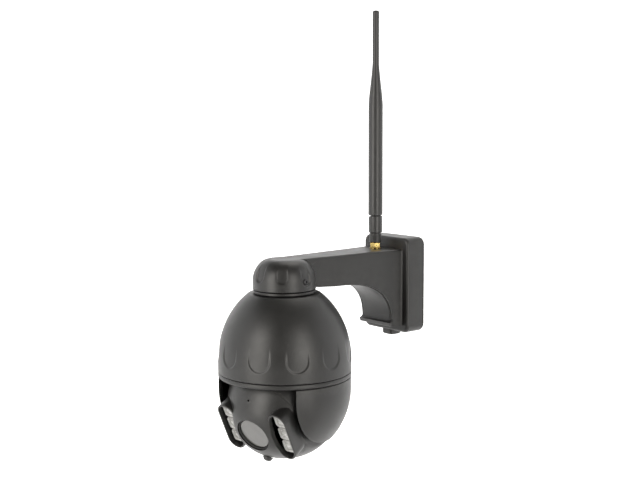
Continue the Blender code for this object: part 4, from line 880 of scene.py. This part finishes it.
def make_upper_shell():
    """Upper dome shell with flutes, a rounded lower rim and the bearing seat at its top."""
    outer = [(DOME_RADIUS - 0.6 * MM, UPPER_BOTTOM), (DOME_RADIUS - 0.2 * MM, UPPER_BOTTOM + 0.12 * MM)]
    height = UPPER_BOTTOM + 0.5 * MM
    while height < -34 * MM:
        outer.append((upper_radius(height), height))
        height += 0.42 * MM
    first = asin((height - UPPER_CENTRE) / UPPER_HEIGHT)
    last = asin((UPPER_TOP - UPPER_CENTRE) / UPPER_HEIGHT)
    for step in range(29):
        angle = first + (last - 0.006 - first) * step / 28
        outer.append((DOME_RADIUS * cos(angle), UPPER_CENTRE + UPPER_HEIGHT * sin(angle)))
    edge = upper_radius(UPPER_TOP)
    outer += [(edge - 0.3 * MM, UPPER_TOP - 0.05 * MM), (edge - 0.9 * MM, UPPER_TOP)]
    seat = [(15.2 * MM, UPPER_TOP), (15.2 * MM, -3.8 * MM), (11 * MM, -3.8 * MM), (11 * MM, -5.6 * MM),
            (18 * MM, -5.6 * MM)]
    inner = []
    for step in range(13):
        height = -2.0 * MM + (UPPER_BOTTOM + 2.0 * MM) * step / 12
        inner.append((upper_radius(height, DOME_WALL), height))
    rings = [(radius, height, radius > upper_radius(height) - MM and height < UPPER_TOP - MM)
             for radius, height in outer + seat + inner]
    shell = make_object("upper_dome_shell", turned(rings, FLUTES * 66, flute_depth, hollow=True))
    return deliver(shell, DOME_PLACE, "dome", "body_plastic", "upper_shell", sharp=40.0)


def make_rings():
    """Neck ring under the cap and the bead between the dome's two shells."""
    for node, inner, outer, soft, steps, segments in (
            ("neck_ring", 18.5 * MM, 25.0 * MM, 0.7 * MM, 5, 160),
            ("bead_ring", 50.9 * MM, DOME_RADIUS, 1.2 * MM, 8, 240)):
        bottom, top = span(node)
        ring = [(inner, bottom)] + arc(outer - soft, bottom + soft, soft, -90, 0, steps)
        ring += arc(outer - soft, top - soft, soft, 0, 90, steps) + [(inner, top)]
        deliver(make_object(node + "_fine", lathe(ring, segments)), DOME_PLACE,
                "dome", "body_plastic", node)


LOWER_CENTRE, LOWER_HEIGHT = -72.35 * MM, 58.0 * MM
OPENING_HALF_WIDTH = 39.2 * MM


def lower_radius(height):
    if height >= LOWER_CENTRE:
        return DOME_RADIUS - 0.3 * MM
    return (DOME_RADIUS - 0.3 * MM) * sqrt(1 - ((height - LOWER_CENTRE) / LOWER_HEIGHT) ** 2)


def make_lower_shell():
    """Bowl round the back and sides of the head, with rounded upright front edges."""
    top, rim = high("lower_shell").z, low("lower_shell").z
    outside = [(lower_radius(top) - 0.5 * MM, top), (lower_radius(top), top - 0.5 * MM)]
    for step in range(33):
        height = LOWER_CENTRE + (rim - LOWER_CENTRE) * sin(pi / 2 * step / 32)
        outside.append((lower_radius(height), height))
    clearance = HEAD_RADIUS + 0.9 * MM
    inside = []
    for step in range(13):
        height = rim + (-100 * MM - rim) * step / 12
        inside.append((sqrt(clearance ** 2 - (height - TILT_POINT.z) ** 2), height))
    for height in (-97 * MM, -93 * MM, -88 * MM, -84 * MM, LOWER_CENTRE, top):
        inside.append((lower_radius(height) - DOME_WALL, height))
    shell = make_object("lower_dome_shell", lathe(outside + inside, 240))
    cut(shell, block((-OPENING_HALF_WIDTH, -60 * MM, -130 * MM), (OPENING_HALF_WIDTH, 0, -50 * MM)))
    round_edges(shell, 0.45 * MM, 45.0)
    return deliver(shell, DOME_PLACE, "dome", "body_plastic", "lower_shell")


# ---- head

HEAD_RADIUS, HEAD_WALL = 46.2 * MM, 2.2 * MM
HEAD_HALF_WIDTH, PARTING = 34.2 * MM, 26.4 * MM
# The front's rise towards the window, and the angles off the optical axis over which it comes.
FRONT_RISE, RISE_START, RISE_SPAN = 1.3 * MM, 50.0, 30.0
LENS_BORE = 14.8 * MM
POD_CENTRE, POD_FRONT = 25.6 * MM, 41.0 * MM
POD_HALF_WIDTH, POD_HALF_LENGTH, POD_RIM = 8.4 * MM, 21.6 * MM, 1.3 * MM
LED_CENTRE, LED_BACK, LED_PITCH, LED_EYE = 25.8 * MM, 31.2 * MM, 12.2 * MM, 3.4 * MM
SIDE_FILLET = 6.0 * MM
# Lens block: height above its board and half width, in mm, from its foot to the rim of its face.
LED_BLOCK = ((0.0, 4.9), (0.8, 5.5), (2.0, 5.9), (4.9, 5.9), (5.6, 5.7), (5.8, 5.3), (5.5, 4.6), (5.3, 4.0))
SENSOR_LEAN, SENSOR_PROUD, SENSOR_TIP_RADIUS = radians(36.0), 0.7 * MM, 3.5 * MM
HEAD_SCREW_Z = 16 * MM
MICROPHONE_RISE, MICROPHONE_RADIUS = radians(37.3), 0.9 * MM


def head_screw_seat():
    """Distance behind the tilt axis of the seats of the rear shell's screws."""
    return sqrt(HEAD_RADIUS ** 2 - HEAD_SCREW_Z ** 2) - 1.9 * MM


def ball(radius, half_width, fillet, segments=144, steps=48):
    """Ball turned round the tilt axis, its flat sides joined to the round by a fillet."""
    centre_x = half_width - fillet
    centre_r = sqrt((radius - fillet) ** 2 - centre_x ** 2)
    tangent = atan2(centre_x, centre_r)
    side = [(centre_r + fillet * cos(angle), centre_x + fillet * sin(angle))
            for angle in (tangent + (pi / 2 - tangent) * step / 8 for step in range(1, 9))]
    middle = [(radius * cos(angle), radius * sin(angle))
              for angle in (tangent * (2 * step / steps - 1) for step in range(steps + 1))]
    profile = [(0, -half_width)] + [(reach, -x) for reach, x in reversed(side)] + middle + side
    return placed(lathe(profile + [(0, half_width)], segments), SIDEWAYS)


def raise_front(bm, radius):
    """Draw the round surface out a little towards the window, so that the window sits deep."""
    for vert in bm.verts:
        reach = vert.co.length
        if reach < radius - 0.3 * MM:
            continue
        off_axis = degrees(acos(max(-1.0, min(1.0, -vert.co.y / reach))))
        vert.co *= 1 + FRONT_RISE / radius * smooth((RISE_START - off_axis) / RISE_SPAN)
    return bm


def across(half_width, rear, front, half_height):
    """Box across the optical axis, between two distances in front of the tilt axis."""
    return block((-half_width, -front, -half_height), (half_width, -rear, half_height))


def pod_wall(side):
    """Capsule-shaped lamp housing with a rounded front rim."""
    sections = []
    for depth, inset in ((PARTING + 2 * MM, 0.0), (POD_FRONT - 0.6 * MM, 0.0),
                         (POD_FRONT - 0.2 * MM, 0.15 * MM), (POD_FRONT, 0.5 * MM)):
        outline = stadium(POD_HALF_WIDTH - inset, POD_HALF_LENGTH - inset)
        sections.append([(side * POD_CENTRE + x, -depth, z) for x, z in outline])
    return loft(sections)


def make_front_shell():
    round_front = raise_front(ball(HEAD_RADIUS, HEAD_HALF_WIDTH, SIDE_FILLET), HEAD_RADIUS)
    shell = make_object("head_front", round_front)
    common(shell, across(60 * MM, PARTING + 0.1 * MM, 60 * MM, 60 * MM))
    for side in (-1, 1):
        join(shell, pod_wall(side))
    cut(shell, ball(HEAD_RADIUS - HEAD_WALL, HEAD_HALF_WIDTH - HEAD_WALL, 3 * MM, 64, 24))
    for side in (-1, 1):
        outline = stadium(POD_HALF_WIDTH - POD_RIM, POD_HALF_LENGTH - POD_RIM)
        cut(shell, loft([[(side * POD_CENTRE + x, -depth, z) for x, z in outline]
                         for depth in (20 * MM, 60 * MM)]))
    cut(shell, placed(disc(LENS_BORE, 30 * MM, 60 * MM, 128), FORWARD))
    hole = Matrix.Rotation(-MICROPHONE_RISE, 4, "X") @ FORWARD
    cut(shell, placed(disc(MICROPHONE_RADIUS, 40 * MM, 60 * MM, 24), hole))
    round_edges(shell, 0.15 * MM, 38.0)
    return deliver(shell, HEAD_PLACE, "head", "body_plastic", "head_front_shell")


def make_rear_shell():
    shell = make_object("head_rear", ball(HEAD_RADIUS, HEAD_HALF_WIDTH, SIDE_FILLET))
    common(shell, across(60 * MM, -60 * MM, PARTING - 0.1 * MM, 60 * MM))
    cut(shell, ball(HEAD_RADIUS - HEAD_WALL, HEAD_HALF_WIDTH - HEAD_WALL, 3 * MM, 64, 24))
    cut(shell, placed(disc(3.9 * MM, -60 * MM, 60 * MM, 48), SIDEWAYS))
    seat = head_screw_seat()
    for height in (HEAD_SCREW_Z, -HEAD_SCREW_Z):
        post = placed(disc(4.4 * MM, -60 * MM, 3.6 * MM - seat, 48), FORWARD)
        boss = make_object("boss", moved(post, 0, 0, height))
        common(boss, ball(HEAD_RADIUS - MM, HEAD_HALF_WIDTH - MM, 3 * MM, 64, 24))
        join(shell, as_bmesh(boss))
        cut(shell, rod(1.8 * MM, -60 * MM, -20 * MM, 0, height, 32))
        cut(shell, rod(3.2 * MM, -60 * MM, 0.3 * MM - seat, 0, height, 40))
    round_edges(shell, 0.15 * MM, 38.0)
    return deliver(shell, HEAD_PLACE, "head", "body_plastic", "head_rear_shell")


def make_lens():
    """Bezel round the window, and the window as a thin disc with a ground edge."""
    bezel = in_mm((13.6, 38), (14.6, 38), (14.6, 43.6), (14.45, 43.85), (14.2, 43.9), (13.9, 43.7),
                  (13.6, 43.0))
    deliver(make_object("lens_bezel_fine", placed(lathe(bezel, 128), FORWARD)), HEAD_PLACE,
            "head", "inner_plastic", "lens_bezel")
    window = in_mm((0, 40.9), (13.2, 40.9), (13.3, 41.0), (13.3, 42.6), (13.0, 42.85), (12.0, 42.88),
                   (0, 42.9))
    deliver(make_object("lens_window_fine", placed(lathe(window, 128), FORWARD)), HEAD_PLACE,
            "head", "window_glass", "lens_window")


def make_lamps():
    """Lens blocks: a rounded square collector with a domed eye, one for each lamp."""
    for side_name, side in (("left", -1), ("right", 1)):
        for index, height in (("upper", LED_PITCH), ("middle", 0.0), ("lower", -LED_PITCH)):
            node = "led_" + side_name + "_" + index
            sections = []
            for rise, half in LED_BLOCK:
                outline = rounded_rectangle(2 * half * MM, (2 * half - 0.2) * MM, half * 0.45 * MM, 6)
                sections.append([(x, -LED_BACK - rise * MM, z) for x, z in outline])
            lens = make_object(node + "_fine", loft(sections))
            foot, crown = LED_BACK + 2 * MM, LED_BACK + 5.4 * MM
            dome = [(0, foot), (LED_EYE, foot), (LED_EYE, crown)]
            dome += [(LED_EYE * cos(angle), crown + MM * sin(angle))
                     for angle in (0.3, 0.6, 0.9, 1.2)]
            join(lens, placed(lathe(dome + [(0, crown + MM)], 40), FORWARD))
            place = HEAD_PLACE @ Matrix.Translation((side * LED_CENTRE, 0, height))
            deliver(lens, place, "head", "led_lens", node)


def make_sensor():
    """Small light sensor under the window: a stub with a domed tip and a collar."""
    outline = in_mm((0, 0), (3.9, 0), (4.15, 0.2), (4.2, 0.6), (4.0, 1.0), (3.6, 1.15), (3.5, 1.5))
    outline += [(SENSOR_TIP_RADIUS * cos(angle), (1.5 + 1.9 * sin(angle)) * MM)
                for angle in (0.2, 0.5, 0.8, 1.1, 1.35)]
    nub = placed(lathe(outline + [(0, 3.4 * MM)], 56), FORWARD)
    lean = Matrix.Rotation(SENSOR_LEAN, 4, "X")
    placed(nub, lean @ Matrix.Translation((0, -HEAD_RADIUS - SENSOR_PROUD, 0)))
    return deliver(make_object("light_sensor_fine", nub), HEAD_PLACE,
                   "head", "body_plastic", "light_sensor")


# ---- studio

CAMERA_PLACE = (0.7031, -0.6828, 0.14945)
CAMERA_PITCH, CAMERA_TURN, CAMERA_ROLL = 83.36, 50.0, -0.19
CAMERA_LENS = 64.0
FLOOR_DROP, FLOOR_RADIUS = 0.22, 2.6
SWEEP_RADIUS, SWEEP_ROUND, SWEEP_HEIGHT = 1.6, 0.9, 3.0
SWEEP_SPAN, SWEEP_COLUMNS = 225.0, 72
ROOM_TONE, ROOM_STRENGTH = (1.0, 0.98, 0.95, 1.0), 0.08
WARM = (1.0, 0.97, 0.92)


def make_camera():
    data = bpy.data.cameras.new("camera")
    data.lens = CAMERA_LENS
    data.clip_start = 0.01
    camera = add_object("camera", data)
    turn = Matrix.Rotation(radians(CAMERA_TURN), 4, "Z")
    pitch = Matrix.Rotation(radians(CAMERA_PITCH), 4, "X")
    roll = Matrix.Rotation(radians(CAMERA_ROLL), 4, "Z")
    camera.matrix_world = Matrix.Translation(CAMERA_PLACE) @ turn @ pitch @ roll
    bpy.context.scene.camera = camera


def make_light(name, azimuth, distance, height, size, power):
    """Soft panel on a circle round the pan axis, facing the dome."""
    data = bpy.data.lights.new(name, "AREA")
    data.shape = "RECTANGLE"
    data.size, data.size_y = size
    data.energy = power
    data.color = WARM
    light = add_object(name, data)
    angle = radians(azimuth)
    ahead = Vector((sin(angle), -cos(angle), 0))
    place = Vector((PAN_POINT.x, PAN_POINT.y, height)) + distance * ahead
    aim = Vector((PAN_POINT.x, PAN_POINT.y, -0.02)) - place
    light.rotation_euler = aim.to_track_quat("-Z", "Y").to_euler()
    light.location = place
    return light


def make_studio():
    """Pale floor that sweeps up into a round backdrop behind the object, panels and a dim room."""
    floor_z = cad_low.z - FLOOR_DROP
    bm, rows = bmesh.new(), []
    profile = [(0.0, 0.0), (SWEEP_RADIUS, 0.0)]
    for step in range(1, 13):
        angle = pi / 2 * step / 12
        profile.append((SWEEP_RADIUS + SWEEP_ROUND * sin(angle), SWEEP_ROUND * (1 - cos(angle))))
    profile += [(SWEEP_RADIUS + SWEEP_ROUND, SWEEP_HEIGHT)]
    for radius, height in profile:
        row = []
        for step in range(SWEEP_COLUMNS + 1):
            azimuth = CAMERA_TURN + 180 + SWEEP_SPAN * (step / SWEEP_COLUMNS - 0.5)
            x, y = radius * sin(radians(azimuth)), -radius * cos(radians(azimuth))
            row.append(bm.verts.new((x, PAN_POINT.y + y, height)))
        rows.append(row)
    for near, far in zip(rows, rows[1:]):
        for step in range(SWEEP_COLUMNS):
            corners = (near[step], near[step + 1], far[step + 1], far[step])
            bm.faces.new(corners)
    sweep = make_object("studio_sweep", moved(bm, 0, 0, floor_z))
    sweep.data.shade_smooth()
    sweep.data.materials.append(studio_paper("studio_paper", (0.86, 0.86, 0.86), 0.75))
    floor = make_object("studio_floor", disc(FLOOR_RADIUS, -0.02, -0.002, 96))
    floor.location = (0, PAN_POINT.y, floor_z)
    floor.data.materials.append(studio_paper("floor_paper", (0.84, 0.84, 0.84), 0.10))
    world = bpy.data.worlds.new("room")
    world.use_nodes = True
    background = world.node_tree.nodes["Background"]
    background.inputs["Color"].default_value = ROOM_TONE
    background.inputs["Strength"].default_value = ROOM_STRENGTH
    bpy.context.scene.world = world
    make_light("panel_left", CAMERA_TURN - 46, 1.15, 0.20, (0.55, 1.2), 13.5)
    make_light("panel_right", CAMERA_TURN + 34, 1.25, 0.20, (0.50, 1.2), 12.5)
    make_light("panel_top", CAMERA_TURN + 150, 0.55, 1.25, (0.9, 0.9), 7.6)


dress_frame()
make_wall_plate()
make_wall_box()
make_bracket_arm()
make_arm_cover()
make_screws()
make_washer_and_nut()
make_thread()
make_collar()
make_sleeve()
make_whip()
make_upper_shell()
make_rings()
make_lower_shell()
make_front_shell()
make_rear_shell()
make_lens()
make_lamps()
make_sensor()
make_camera()
make_studio()
bpy.context.scene.view_settings.view_transform = "Standard"
